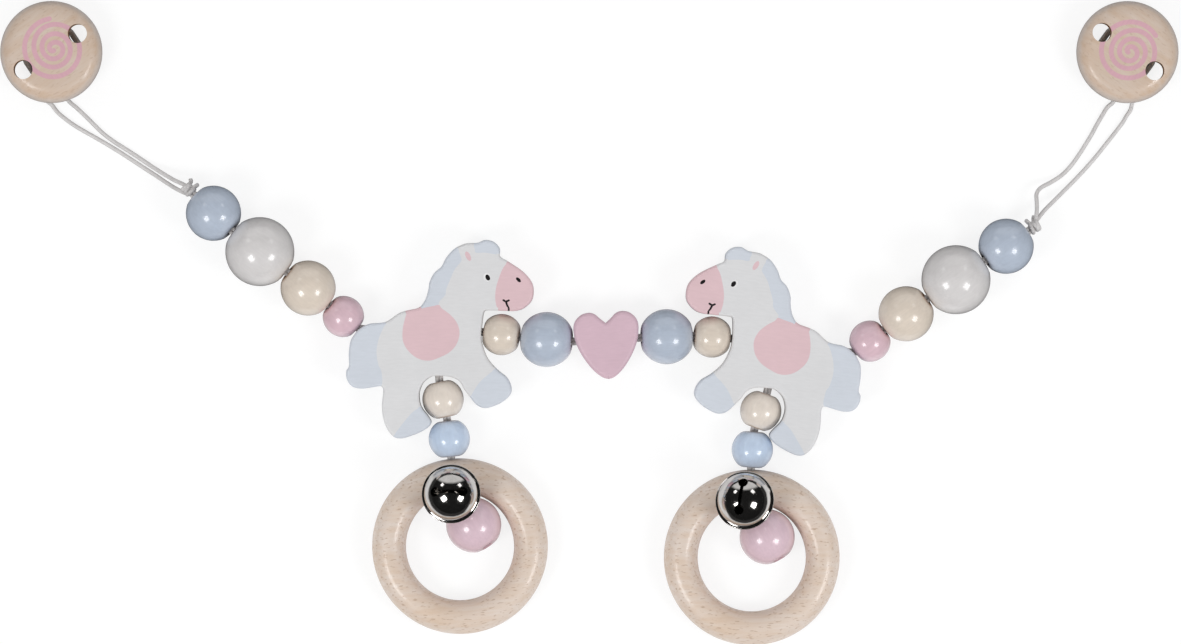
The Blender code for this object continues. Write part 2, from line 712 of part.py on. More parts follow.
def add_plate(side, frame, parent):
    """The plate behind the disc, with an ear at each side for the wire and a rivet into the disc."""
    bottom = plate_bottom()
    hinge = Matrix.Translation((HINGE_PLACE, 0.0, WIRE_HEIGHT))
    edge = rounded_rectangle((PLATE_NOSE, -PLATE_WIDTH / 2), (PLATE_TAIL, PLATE_WIDTH / 2),
                             (PLATE_CORNER, PLATE_CORNER), PLATE_CORNER_STEPS)
    mesh = flat_mesh("plate", [edge], SHEET)
    mesh.transform(hinge.inverted() @ Matrix.Translation((0.0, 0.0, bottom + SHEET / 2)))
    item = add_piece(f"{side}_clip_plate", mesh, "steel", frame @ hinge, parent)
    for sign in (-1.0, 1.0):
        outer = sign * PLATE_WIDTH / 2
        inner = outer - sign * SHEET
        low = (-EAR_LENGTH / 2, min(outer, inner), -EAR_LENGTH / 2)
        high = (EAR_LENGTH / 2, max(outer, inner), bottom - WIRE_HEIGHT + SHEET / 2)
        join(item, box_mesh("ear", low, high))
    middle = -HINGE_PLACE
    top = bottom - WIRE_HEIGHT + SHEET
    join(item, cylinder_mesh("rivet", RIVET_DIAMETER, top - SHEET / 2, top + RIVET_LENGTH),
         Matrix.Translation((middle, 0.0, 0.0)))
    hole = WIRE_DIAMETER + 2 * HINGE_CLEARANCE
    reach = PLATE_WIDTH / 2 + OVERRUN
    cut(item, cylinder_mesh("hinge_hole", hole, -reach, reach), Matrix.Rotation(math.pi / 2, 4, "X"))
    return item


def lever_outline():
    """The lever from the side: a flat handle that curls round the wire."""
    outer = WIRE_DIAMETER / 2 + HINGE_CLEARANCE + KNUCKLE_WALL
    floor = -WIRE_HEIGHT
    tip = LEVER_TIP - HINGE_PLACE
    start = math.asin((floor + SHEET) / outer) if abs(floor + SHEET) < outer else -math.pi / 2
    stop = 3 * math.pi / 2 - math.radians(LEVER_CURL)
    turns = [start + (stop - start) * k / KNUCKLE_ARC_STEPS for k in range(KNUCKLE_ARC_STEPS + 1)]
    curl = [(outer * math.cos(turn), outer * math.sin(turn)) for turn in turns]
    return [(tip - SHEET / 2, floor), (tip, floor + SHEET / 2), (tip - SHEET / 2, floor + SHEET),
            (outer, floor + SHEET), *curl, (-outer / 2, floor)]


def add_lever(side, frame, parent):
    hinge = Matrix.Translation((HINGE_PLACE, 0.0, WIRE_HEIGHT))
    width = PLATE_WIDTH - 2 * (SHEET + LEVER_SIDE_GAP)
    hole = WIRE_DIAMETER / 2 + HINGE_CLEARANCE
    turns = [math.tau * k / BORE_STEPS for k in range(BORE_STEPS)]
    inner = [(hole * math.cos(turn), hole * math.sin(turn)) for turn in turns]
    mesh = flat_mesh("lever", [lever_outline(), inner], width)
    mesh.transform(Matrix.Rotation(math.pi / 2, 4, "X"))
    return add_piece(f"{side}_clip_lever", smooth(mesh), "steel", frame @ hinge, parent)


def disc_profile():
    """The disc's side from the middle of its face to the middle of its back."""
    radius = DISC_DIAMETER / 2
    profile = [(0.0, DISC_THICKNESS)]
    for k in range(DISC_ARC_STEPS + 1):
        turn = math.pi / 2 * (1 - k / DISC_ARC_STEPS)
        profile.append((radius - DISC_FACE_ROUND * (1 - math.cos(turn)),
                        DISC_THICKNESS - DISC_FACE_ROUND * (1 - math.sin(turn))))
    profile += [(radius, DISC_BACK_ROUND), (radius - DISC_BACK_ROUND, 0.0), (0.0, 0.0)]
    return profile


def add_disc(side, frame, parent):
    bottom = plate_bottom() + SHEET + FIT_GAP
    mesh = turned_mesh(f"{side}_clip_disc", disc_profile(), DISC_STEPS, closed=False)
    matrix = frame @ Matrix.Translation((0.0, 0.0, bottom))
    item = add_piece(f"{side}_clip_disc", mesh, "beech", matrix, parent)
    for sign in (-1.0, 1.0):
        vent = cylinder_mesh("vent", VENT_DIAMETER, -OVERRUN, DISC_THICKNESS + OVERRUN, VENT_STEPS)
        cut(item, vent, Matrix.Translation((0.0, sign * VENT_OFFSET, 0.0)))
    depth = RIVET_LENGTH - FIT_GAP + RIVET_CLEARANCE
    cut(item, cylinder_mesh("rivet_hole", RIVET_DIAMETER + 2 * RIVET_CLEARANCE, -OVERRUN, depth))
    return item


def clip_frame(side, knot):
    turn = Matrix.Rotation(math.radians(CLIP_TURNS[side]), 4, "Z")
    return Matrix.Translation(from_knot(side, knot, DISC_PIXELS[side], 0.0)) @ turn


def end_cord_points(side, knot):
    """The end cord's route: from the knot round the clip's wire and back to the knot."""
    out, back = ([from_knot(side, knot, point, point[2] * MM) for point in route]
                 for route in END_CORD_ROUTES[side])
    frame = clip_frame(side, knot)
    return out + [frame @ (Vector(point) * MM) for point in CLIP_CORD_ROUTES[side]] + back


def add_end_cord(side, stop, direction, parent):
    """A free loop of single cord whose two ends meet in a knot outside the last bead."""
    frame = bore_frame(stop.place, direction)
    knot = CORD_CLEARANCE + KNOT_LENGTH / 2
    middle = frame @ Vector((0.0, 0.0, knot))
    points = [middle, *end_cord_points(side, stop.place), middle + UP * STRAND_DIAMETER / 4]
    route = smooth_path(points, END_CORD_SPACING)
    mesh = tube_mesh(f"{side}_end_cord", route, STRAND_DIAMETER)
    mesh.transform(frame.inverted())
    item = add_piece(f"{side}_end_cord", smooth(mesh, 60.0), "cord", frame, parent)
    form = bmesh.new()
    size = Matrix.Diagonal((KNOT_DIAMETER / 2, KNOT_DIAMETER / 2, KNOT_LENGTH / 2, 1.0))
    bmesh.ops.create_uvsphere(form, u_segments=KNOT_STEPS, v_segments=KNOT_STEPS // 2, radius=1.0,
                              matrix=Matrix.Translation((0.0, 0.0, knot)) @ size)
    knot_mesh = bpy.data.meshes.new("knot")
    form.to_mesh(knot_mesh)
    form.free()
    join(item, knot_mesh)
    item.modifiers[-1].use_self = True
    return item


# A pendant: two beads, the ring, and the bell and pink bead inside it

def add_cord(name, start, stop, direction, parent):
    """A length of doubled cord between two turning points, short of each by its cut."""
    length = (stop.place - start.place).length
    mesh = cord_mesh(name, start.cut, length - stop.cut)
    return add_piece(name, mesh, "cord", bore_frame(start.place, direction), parent)


def add_bead(name, diameter, colour, middle, direction, parent):
    return add_piece(name, bead_mesh(name, diameter), colour, bore_frame(middle, direction), parent)


def add_pendant(side, horse, frame):
    headings = HEADINGS[side]
    belly = frame @ horse_local(BELLY_MOUTH_SHARES, -SIDE_SIGNS[side])
    down = frame.to_3x3() @ Vector((0.0, -1.0, 0.0))
    bead_length = 2 * bead_half(SMALL_BEAD)
    upper, lower = (heading_vector(headings[key]) for key in ("upper_drop", "lower_drop"))
    far = ring_reach() + (RING_DIAMETER - RING_BAR) / 2
    fall = math.asin((HORSE_THICKNESS - RING_BAR) / 2 / far)
    drop = heading_vector(headings["ring_drop"], rise=-fall)
    top = belly + down * BELLY_CORD_DROP
    middle = top + upper * (BEAD_GAP / 2 + bead_length + PENDANT_GAP / 2)
    bottom = middle + lower * (PENDANT_GAP / 2 + bead_length + BEAD_GAP / 2)
    stops = [Stop(top, upper, upper), Stop(middle, upper, lower, PENDANT_BEND),
             Stop(bottom, lower, drop)]
    stops[0].cut = -(BELLY_CORD_DROP + BELLY_CORD_DEPTH)

    cord = add_cord(f"{side}_pendant_cord_upper", stops[0], stops[1], upper, horse)
    cream = top + upper * (BEAD_GAP + bead_length) / 2
    add_bead(f"{side}_pendant_cream_bead", SMALL_BEAD, "cream", cream, upper, cord)
    cord = add_cord(f"{side}_pendant_cord_lower", stops[1], stops[2], lower, cord)
    blue = middle + lower * (PENDANT_GAP + bead_length) / 2
    add_bead(f"{side}_pendant_blue_bead", SMALL_BEAD, "blue", blue, lower, cord)
    add_ring_cord(side, stops[2], drop, cord)


def add_ring_cord(side, stop, drop, parent):
    """The cord's last length: through the ring's bar, the bell's eye and into the pink bead."""
    frame = bore_frame(stop.place, drop)
    level = Vector((drop.x, drop.y, 0.0)).normalized()
    right = UP.cross(level)
    mouth = stop.place + drop * (BEAD_GAP / 2 + RING_BAR)
    eye = mouth + level * BELL_CORD_PLACE[0] + right * BELL_CORD_PLACE[1]
    rise = math.radians(PENDANT_PINK_RISE)
    half = bead_half(BEAD)
    eye.z = (2 * mouth.z + BEAD / 2 - half * math.sin(rise)) / 3
    lean_side, lean_back = (math.radians(angle) for angle in BELL_LEANS[side])
    bell_axis = (UP + right * math.tan(lean_side) + level * math.tan(lean_back)).normalized()
    pink = clear_of_bell(mouth + level * PENDANT_PINK_PLACE[0] + right * PENDANT_PINK_PLACE[1],
                         eye + bell_axis * BELL_REACH)
    heading = Vector((pink.x - eye.x, pink.y - eye.y, 0.0)).normalized()
    bore = heading * math.cos(rise) + UP * math.sin(rise)
    near = pink - bore * half
    path = [stop.place + drop * stop.cut, stop.place + drop * RING_BAR / 2, mouth, eye, near,
            pink, pink + bore * (half - STRAND_DIAMETER)]
    mesh = pair_mesh(f"{side}_ring_cord", path, frame)
    cord = add_piece(f"{side}_ring_cord", mesh, "cord", frame, parent)
    middle = stop.place + drop * ring_reach()
    side_axis = UP.cross(drop).normalized()
    ring_frame = axes_frame(middle, drop, side_axis, drop.cross(side_axis))
    add_ring(f"{side}_ring", ring_frame, cord)
    add_bead(f"{side}_pendant_pink_bead", BEAD, "pink", pink, bore, cord)

    through = (near - mouth).normalized()
    swing = (through - bell_axis * through.dot(bell_axis)).normalized()
    bell_frame = axes_frame(eye, swing, bell_axis.cross(swing), bell_axis)
    slot_turn = SLOT_TURNS[side] - math.degrees(math.atan2(swing.y, swing.x))
    add_bell(side, bell_frame, slot_turn, cord)


def clear_of_bell(spot, bell):
    """The pink bead's middle on the table, at a spot or as far out from the bell as clears it."""
    apart = (BELL_DIAMETER + BEAD) / 2 + PENDANT_PINK_CLEARANCE
    below = bell.z - BEAD / 2
    way = (spot - bell).to_2d()
    reach = max(way.length, math.sqrt(max(apart ** 2 - below ** 2, 0.0)))
    return Vector((*(bell.to_2d() + way.normalized() * reach), BEAD / 2))


def pair_mesh(name, path, frame):
    """The doubled cord along a path, its two strands level with each other."""
    section = bpy.data.curves.new(f"{name}_section", "CURVE")
    section.dimensions = "2D"
    spline = section.splines.new("POLY")
    outline = cord_outline()
    spline.points.add(len(outline) - 1)
    for point, (x, y) in zip(spline.points, outline):
        point.co = (x, y, 0.0, 1.0)
    spline.use_cyclic_u = True
    section_item = bpy.data.objects.new(f"{name}_section", section)
    CUTTERS.objects.link(section_item)
    curve = bpy.data.curves.new(name, "CURVE")
    curve.dimensions = "3D"
    curve.twist_mode = "Z_UP"
    curve.bevel_mode = "OBJECT"
    curve.bevel_object = section_item
    curve.use_fill_caps = True
    spline = curve.splines.new("POLY")
    points = smooth_path(path, RING_CORD_SPACING)
    spline.points.add(len(points) - 1)
    for point, place_of_point in zip(spline.points, points):
        point.co = (*place_of_point, 1.0)
    mesh = curve_mesh(name, curve)
    bpy.data.objects.remove(section_item, do_unlink=True)
    mesh.transform(frame.inverted())
    return smooth(mesh, 60.0)


# The chain

MAIN_PIECES = (
    ("blue_inner", BEAD, "blue"), ("cream_small", SMALL_BEAD, "cream"), ("horse", None, "horse"),
    ("pink", SMALL_BEAD, "pink"), ("cream", BEAD, "cream"), ("white", LARGE_BEAD, "white"),
    ("blue_outer", BEAD, "blue"),
)


def pitch(diameter):
    return 2 * bead_half(diameter) + BEAD_GAP


def inner_rise():
    """The cord's rise from a horse to the heart, which lets the blue bead rest on the table."""
    return (BEAD - HORSE_THICKNESS) / 2 / (pitch(SMALL_BEAD) + pitch(BEAD) / 2)


def outer_rise():
    """The cord's rise from a horse to the large bead, which rests on the table."""
    return (LARGE_BEAD - HORSE_THICKNESS) / 2 / (pitch(SMALL_BEAD) + pitch(BEAD))


def piece_rises():
    """Each bead's rise outwards, in radians."""
    inner = -math.asin(inner_rise())
    outer = math.asin(outer_rise())
    return {"blue_inner": inner, "cream_small": inner, "pink": outer, "cream": outer, "white": 0.0,
            "blue_outer": math.asin((BEAD - LARGE_BEAD) / 2 / pitch(BEAD))}


def heart_height():
    return HORSE_THICKNESS / 2 + inner_rise() * (pitch(SMALL_BEAD) + pitch(BEAD))


def lay_out(side, start):
    """The frame of the horse, and each piece's start, end and direction from the heart outwards."""
    sign = SIDE_SIGNS[side]
    rises = piece_rises()
    here = start
    pieces = []
    frame = None
    for key, diameter, _ in MAIN_PIECES:
        if key == "horse":
            frame = horse_frame(side, here)
            end = frame @ horse_local(TAIL_MOUTH_SHARES, -sign)
            direction = (end - here).normalized()
        else:
            direction = heading_vector(HEADINGS[side][key], sign, rises[key])
            end = here + direction * pitch(diameter)
        pieces.append((key, here, end, direction))
        here = end
    return frame, pieces


def build_side(side, heart_cord, start, heart_direction):
    frame, pieces = lay_out(side, start)
    directions = [heart_direction, *(direction for _, _, _, direction in pieces)]
    places = [start, *(end for _, _, end, _ in pieces)]
    last = directions[-1]
    stops = [Stop(spot, inner, outer)
             for spot, inner, outer in zip(places, directions, [*directions[1:], last])]
    cord = heart_cord
    for index, (key, diameter, colour) in enumerate(MAIN_PIECES):
        _, here, end, direction = pieces[index]
        cord = add_cord(f"{side}_{key}_cord", stops[index], stops[index + 1], direction, cord)
        if key == "horse":
            horse = add_horse(side, frame, cord)
            add_pendant(side, horse, frame)
        else:
            add_bead(f"{side}_{key}_bead", diameter, colour, (here + end) / 2, direction, cord)
    cord = add_end_cord(side, stops[-1], last, cord)
    clip = clip_frame(side, stops[-1].place)
    wire = add_wire(side, clip, cord)
    plate = add_plate(side, clip, wire)
    add_lever(side, clip, plate)
    add_disc(side, clip, plate)
    return stops[0]


def build():
    middle = from_pixel(HEART_PIXEL, PICTURE_MIDDLE, heart_height())
    tilt = heading_vector(HEART_TILT)
    heart_cord = bpy.data.objects.new("heart_cord", bpy.data.meshes.new("heart_cord_start"))
    PARTS.objects.link(heart_cord)
    place(heart_cord, bore_frame(middle, tilt))
    cuts = {}
    for side, sign in SIDE_SIGNS.items():
        first = build_side(side, heart_cord, middle + tilt * sign * heart_reach(), tilt * sign)
        cuts[side] = first.cut
    heart_cord.data = cord_mesh("heart_cord", cuts["left"] - heart_reach(), heart_reach() - cuts["right"])
    heart_cord.data.materials.append(MATERIALS["cord"])
    add_heart(middle, tilt, heart_cord)
    return heart_cord


def centre(root):
    """Moves the whole chain so that the middle of its box, its end cords aside, is X = Y = 0."""
    bpy.context.view_layer.update()
    graph = bpy.context.evaluated_depsgraph_get()
    corners = []
    for item in PARTS.objects:
        if not item.name.endswith("_end_cord"):
            solid = item.evaluated_get(graph)
            corners += [item.matrix_world @ vertex.co for vertex in solid.data.vertices]
    low = Vector(min(corner[axis] for corner in corners) for axis in range(3))
    high = Vector(max(corner[axis] for corner in corners) for axis in range(3))
    shift = Vector((-(low.x + high.x) / 2, -(low.y + high.y) / 2, -low.z))
    root.matrix_world = Matrix.Translation(shift) @ root.matrix_world
    bpy.context.view_layer.update()


centre(build())
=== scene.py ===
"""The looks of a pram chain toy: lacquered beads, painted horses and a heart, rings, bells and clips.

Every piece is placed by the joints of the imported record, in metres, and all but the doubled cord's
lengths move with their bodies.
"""

import json
import math

import bpy
from mathutils import Matrix, Vector
from mathutils.geometry import delaunay_2d_cdt


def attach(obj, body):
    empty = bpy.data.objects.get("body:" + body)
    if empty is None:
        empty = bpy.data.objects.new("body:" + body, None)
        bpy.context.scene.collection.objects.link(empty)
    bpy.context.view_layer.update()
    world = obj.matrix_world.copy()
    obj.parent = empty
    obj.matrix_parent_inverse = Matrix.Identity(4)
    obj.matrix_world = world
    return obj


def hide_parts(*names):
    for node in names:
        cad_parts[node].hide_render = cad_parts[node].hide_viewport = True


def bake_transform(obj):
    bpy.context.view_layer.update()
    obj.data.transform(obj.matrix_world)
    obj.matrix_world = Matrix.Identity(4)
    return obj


MM = 0.001
UP = Vector((0.0, 0.0, 1.0))

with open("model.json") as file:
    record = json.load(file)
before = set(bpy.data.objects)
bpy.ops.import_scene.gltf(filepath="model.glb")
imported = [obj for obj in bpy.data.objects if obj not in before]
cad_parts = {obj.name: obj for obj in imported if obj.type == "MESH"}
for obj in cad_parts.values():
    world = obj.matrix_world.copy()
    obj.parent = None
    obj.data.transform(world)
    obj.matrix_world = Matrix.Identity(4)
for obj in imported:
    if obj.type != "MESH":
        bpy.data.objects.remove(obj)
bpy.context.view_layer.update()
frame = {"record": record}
JOINTS = {joint["name"]: joint for joint in frame["record"]["behaviour"]["joints"]}
SIDE_SIGNS = {"left": -1.0, "right": 1.0}

# Sizes of the beads and of what is bored or turned
SMALL_BEAD = 15 * MM
BEAD = 20 * MM
LARGE_BEAD = 25 * MM
BORE = 3.9 * MM
BEAD_END_RADIUS = 3.65 * MM
BEAD_RELIEF_RADIUS = 4.6 * MM
BEAD_STEPS = 56
BEAD_ARC_STEPS = 34
# A bead's lip round its bore: distances from the bore's middle, and heights from the end's plane,
# in millimetres
BEAD_LIP = ((1.95, -1.5), (1.97, -0.95), (2.05, -0.5), (2.22, -0.2), (2.5, -0.07), (2.85, -0.03),
            (3.25, -0.08), (3.75, -0.19))
# The gap between two pieces on a cord
BEAD_GAP = 0.7 * MM

# How far a drill or a cutter reaches past what it cuts, how finely small round pieces are drawn, and
# how many degrees an edge has to bend to be drawn as a sharp one
OVERRUN = 1 * MM
ROUND_STEPS = 32
SHARP_ANGLE = 45.0

# The doubled cord: its strands, how finely it is drawn, and how far a bend reaches from its joint
STRAND = 1.5 * MM
STRAND_PITCH = 1.4 * MM
STRAND_SIDES = 14
CORD_SPACING = 0.8 * MM
BEND_REACH = 2.2 * MM
BEND_STEPS = 8
ROUTE_STEPS = 8
TWISTS_PER_METRE = 900.0

# The heart and the horses
HEART_WIDTH = 23.6 * MM
HEART_HEIGHT = 24.4 * MM
HEART_THICKNESS = 12 * MM
HEART_EDGE = 1.5 * MM
HEART_STEPS = 9
HEART_BORE_SHARE = 0.586

HORSE_LENGTH = 67.8 * MM
HORSE_HEIGHT = 71.9 * MM
HORSE_THICKNESS = 15 * MM
HORSE_EDGE = 1.0 * MM
HORSE_OUTLINE_STEPS = 6
HORSE_PAINT_STEPS = 5
CHEST_MOUTH_SHARES = (0.728, 0.537)
TAIL_MOUTH_SHARES = (0.058, 0.552)
BELLY_MOUTH_SHARES = (0.494, 0.315)
BELLY_BORE = 4.7 * MM
BELLY_CORD_DEPTH = 9.0 * MM

# The rings and the bells
RING_DIAMETER = 63.8 * MM
RING_BAR = 12.3 * MM
RING_STEPS = 120
RING_BAR_STEPS = 36

BELL_DIAMETER = 19.8 * MM
BELL_RIM = 21.3 * MM
BELL_WALL = 0.5 * MM
BELL_RIM_THICKNESS = 0.5 * MM
BELL_RIM_GAP = 0.06 * MM
BELL_RIM_ROUND = 0.16 * MM
BELL_RIM_BEVEL = 0.05 * MM
# The hollow between rim and shell: where it starts outside the shell, how far out and up its
# middle is, and how far up it meets the shell
BELL_FILLET_START = 0.2 * MM
BELL_FILLET_MIDDLE = (0.02 * MM, 0.06 * MM)
BELL_FILLET_END = 0.25 * MM
BELL_SLOT_LENGTH = 10.0 * MM
BELL_SLOT_WIDTH = 1.2 * MM
BELL_SLOT_HOLE = 3.4 * MM
BELL_SLOT_EDGE = 0.13 * MM
BELL_SLOT_STEPS = 22
BELL_REACH = 17.4 * MM
BELL_STEPS = 72
BELL_ARC_STEPS = 20
BALL_DIAMETER = 5 * MM
BALL_STEPS = 18
BAIL_WIRE = 1.1 * MM
BAIL_WIDTH = 6.4 * MM
BAIL_CLEARANCE = 0.5 * MM
BAIL_STEPS = 20
BAIL_SIDES = 14
# How far each slot is turned from the picture's level, in degrees
SLOT_TURNS = {"left": 0.0, "right": 81.0}

# The end clips. Places are along the clip, from the disc's middle towards the cord, and heights and
# bottoms are from the table.
DISC_DIAMETER = 37 * MM
DISC_THICKNESS = 8 * MM
DISC_FACE_ROUND = 6.0 * MM
DISC_FACE_RINGS = 8
# The part of the face's rounding that belongs to the side, and its steps
DISC_SIDE_SHARE = 0.35
DISC_SIDE_STEPS = 14
DISC_BACK_ROUND = 0.8 * MM
DISC_BOTTOM = 6.75 * MM
DISC_STEPS = 120
VENT_DIAMETER = 6.9 * MM
VENT_OFFSET = 11.8 * MM
VENT_ROUND = 0.35 * MM
WIRE_DIAMETER = 2.2 * MM
WIRE_WIDTH = 19.4 * MM
WIRE_CORNER = 2.0 * MM
BAR_CORNER = 4.0 * MM
WIRE_CORNER_STEPS = 10
WIRE_SIDES = 20
WIRE_HEIGHT = 3.2 * MM
HINGE_PLACE = -4.0 * MM
CORD_BAR_PLACE = 15.5 * MM
SHEET = 0.8 * MM
SHEET_EDGE = 0.12 * MM
SHEET_EDGE_STEPS = 2
SHEET_LIP = 0.02 * MM
PLATE_BOTTOM = 5.65 * MM
PLATE_WIDTH = 15 * MM
PLATE_NOSE = -11 * MM
PLATE_TAIL = 9 * MM
PLATE_CORNER = 2.5 * MM
PLATE_CORNER_STEPS = 8
EAR_LENGTH = 4.4 * MM
EAR_CORNER_SHARE = 0.4
EAR_CORNER_STEPS = 6
RIVET_DIAMETER = 3.6 * MM
RIVET_LENGTH = 3.0 * MM
RIVET_EDGE = 0.2 * MM
LEVER_TIP = 9.5 * MM
LEVER_WIDTH = 12.6 * MM
# How far short of straight down the knuckle's curl stops, in degrees
LEVER_CURL = 20.0
LEVER_CURL_STEPS = 30
KNUCKLE_HOLE = 1.4 * MM
KNUCKLE_WALL = 0.75 * MM
KNUCKLE_STEPS = 24

# The picture's scale on the table, and where its middle and the heart are in it
PIXEL = 0.3625 * MM
PICTURE_MIDDLE = (590.5, 322.0)
HEART_PIXEL = (606.6, 339.7)
PICTURE_WIDTH = 1181
# The camera's height in metres, the height at which the picture has its scale, and the sensor's
# width in millimetres
CAMERA_HEIGHT = 3.0
SCALE_HEIGHT = 0.01
SENSOR_WIDTH = 36.0

# Outlines, as shares of the width and height
HORSE_OUTLINE_SHARES = (
    (0.703, 0.986), (0.742, 1.000), (0.789, 0.990), (0.818, 0.958), (0.821, 0.918),
    (0.861, 0.894), (0.942, 0.842), (0.989, 0.789), (1.000, 0.741), (0.989, 0.693),
    (0.946, 0.655), (0.899, 0.642), (0.840, 0.643), (0.752, 0.645), (0.734, 0.634),
    (0.725, 0.580), (0.720, 0.524), (0.725, 0.476), (0.754, 0.404), (0.806, 0.347),
    (0.857, 0.307), (0.881, 0.259), (0.874, 0.219), (0.831, 0.182), (0.772, 0.158),
    (0.733, 0.154), (0.695, 0.170), (0.652, 0.219), (0.627, 0.251), (0.606, 0.285),
    (0.567, 0.307), (0.507, 0.315), (0.456, 0.311), (0.413, 0.283), (0.390, 0.235),
    (0.391, 0.186), (0.405, 0.151), (0.436, 0.113), (0.452, 0.083), (0.436, 0.057),
    (0.396, 0.032), (0.337, 0.010), (0.290, 0.000), (0.251, 0.010), (0.217, 0.050),
    (0.196, 0.106), (0.190, 0.170), (0.197, 0.238), (0.186, 0.262), (0.149, 0.259),
    (0.081, 0.251), (0.030, 0.263), (0.003, 0.299), (0.000, 0.339), (0.014, 0.366),
    (0.013, 0.428), (0.021, 0.486), (0.038, 0.518), (0.070, 0.552), (0.124, 0.578),
    (0.209, 0.587), (0.277, 0.629), (0.324, 0.645), (0.388, 0.660), (0.422, 0.700),
    (0.438, 0.749), (0.445, 0.789), (0.470, 0.834), (0.508, 0.866), (0.533, 0.910),
    (0.575, 0.954), (0.627, 0.979), (0.661, 0.984),
)
HEART_HALF_OUTLINE_SHARES = (
    (0.00, 0.835), (0.19, 0.915), (0.31, 0.970), (0.48, 1.000), (0.70, 0.983),
    (0.87, 0.925), (0.97, 0.850), (1.00, 0.770), (0.99, 0.690), (0.965, 0.600),
    (0.86, 0.450), (0.68, 0.290), (0.45, 0.140), (0.20, 0.035),
)

# The horse's paint: each border runs from edge to edge of the board, and the second list closes its
# place outside the board. The colours that come first lie over the others.
HORSE_BORDERS = {
    "mane": ("blue",
             ((.5978, .9492), (.616, .9007), (.5978, .8734), (.5758, .8456), (.5538, .7971),
              (.5351, .7556), (.5281, .7213), (.4949, .6869), (.4879, .6727), (.3925, .6535)),
             ((.36, .72), (.36, 1.06), (.5978, 1.06))),
    "saddle": ("pink",
               ((.328, .645), (.31, .5898), (.3009, .5418), (.303, .4933), (.3228, .4519),
                (.3631, .414), (.407, .3953), (.451, .3932), (.4949, .4069), (.5464, .4311),
                (.5828, .4655), (.6016, .5069), (.6037, .5484), (.5865, .5898), (.5538, .6247),
                (.5099, .6555), (.4879, .6727), (.3925, .6535)),
               ((.37, .75), (.30, .75))),
    "forelock": ("blue",
                 ((.6713, .984), (.6857, .9563), (.6927, .9355), (.7441, .9355), (.8175, .9229)),
                 ((.86, .96), (.86, 1.06), (.6713, 1.06))),
    "muzzle": ("pink",
               ((.8674, .8941), (.8358, .8557), (.8138, .8041), (.7993, .7556), (.7956, .7076),
                (.8026, .6662), (.816, .6384)),
               ((.83, .60), (1.1, .60), (1.1, .93), (.88, .93))),
    "tail": ("blue",
             ((.2349, .5898), (.2092, .5727), (.1872, .5347), (.169, .4862), (.162, .4311),
              (.1727, .369), (.1872, .3412), (.1947, .279)),
             ((.19, .235), (-.1, .235), (-.1, .68), (.225, .68))),
    "fore_hoof": ("blue",
                  ((.7843, .3412), (.7297, .2997), (.6927, .2583), (.66, .2032)),
                  ((.62, .10), (.95, .10), (.95, .42), (.82, .42))),
    "hind_hoof": ("blue",
                  ((.3925, .1582), (.3486, .1274), (.3046, .0788), (.2681, .0339)),
                  ((.25, -.05), (.55, -.05), (.55, .20), (.42, .20))),
}
MOUTH_TICK = ((.8395, .6965), (.8524, .6899), (.8685, .6955))
MOUTH_CURVE = ((.8524, .6899), (.8600, .6690), (.8744, .6384))
MOUTH_STROKE = 0.72 * MM
# A border that ends this near to the face's edge is moved to it, and a farther one is led on to it
BORDER_SNAP = 0.8 * MM
# Each oval's middle as shares, its half axes in millimetres and its long axis's slant in degrees
HORSE_OVALS = (
    ("black", (.7556, .8105), (1.14, 0.78), -62.0),
    ("eye", (.7520, .8115), (1.62, 1.34), -75.0),
    ("black", (.9195, .7990), (1.12, 0.60), -45.0),
    ("pink", (.6509, .9179), (1.82, 0.87), -65.0),
)
OVAL_STEPS = 28

# The painted spiral: its middle from the disc's, as seen, in millimetres, and the angle in degrees
# at which its outer end lies. It winds inwards anticlockwise, with a radius for each quarter turn.
SPIRALS = {
    "left": ((1.25, 1.05), 98.0),
    "right": ((0.5, 0.13), 31.0),
}
SPIRAL_RADII = (10.9, 10.5, 10.2, 9.4, 8.7, 7.0, 6.7, 6.0, 5.3, 4.1, 3.7, 3.3, 2.1, 1.4, 0.7)
SPIRAL_STROKE = 1.75 * MM
SPIRAL_QUARTER_STEPS = 9

# The end cords, each strand from the knot to the clip, in pixels, with heights in millimetres
END_CORD_ROUTES = {
    "left": (
        ((186.2, 193.2, 8.9), (176.5, 189.0, 6.4), (165.9, 182.6, 3.8), (154.2, 174.9, 1.9),
         (142.2, 167.2, 0.95), (130.2, 159.3, 0.8), (118.0, 151.4, 0.8), (105.9, 144.0, 0.8),
         (93.1, 136.6, 0.8), (80.4, 129.4, 0.8), (69.4, 122.5, 0.8)),
        ((74.7, 106.9, 0.8), (83.4, 115.0, 0.8), (92.5, 124.0, 0.8), (102.1, 133.3, 0.8),
         (113.1, 141.5, 0.8), (125.0, 149.0, 0.8), (137.0, 156.8, 0.9), (149.1, 165.0, 1.5),
         (160.8, 172.4, 3.2), (172.5, 179.4, 5.6), (184.6, 185.1, 8.2)),
    ),
    "right": (
        ((1036.5, 221.2, 8.2), (1044.0, 211.5, 6.0), (1053.6, 201.9, 3.6), (1064.1, 191.6, 1.8),
         (1074.7, 181.1, 0.9), (1085.1, 170.2, 0.8), (1095.5, 158.4, 0.8), (1105.4, 146.2, 0.8),
         (1115.0, 134.1, 0.8), (1123.6, 122.8, 0.8)),
        ((1104.2, 114.0, 0.8), (1098.8, 123.3, 0.8), (1093.3, 133.5, 0.8), (1086.9, 144.2, 0.8),
         (1079.9, 155.0, 0.8), (1072.3, 165.4, 0.85), (1063.0, 174.8, 1.2), (1051.6, 182.2, 2.4),
         (1041.5, 187.7, 3.9), (1037.2, 194.0, 5.2), (1037.3, 203.7, 7.2), (1036.7, 213.6, 9.2)),
    ),
}
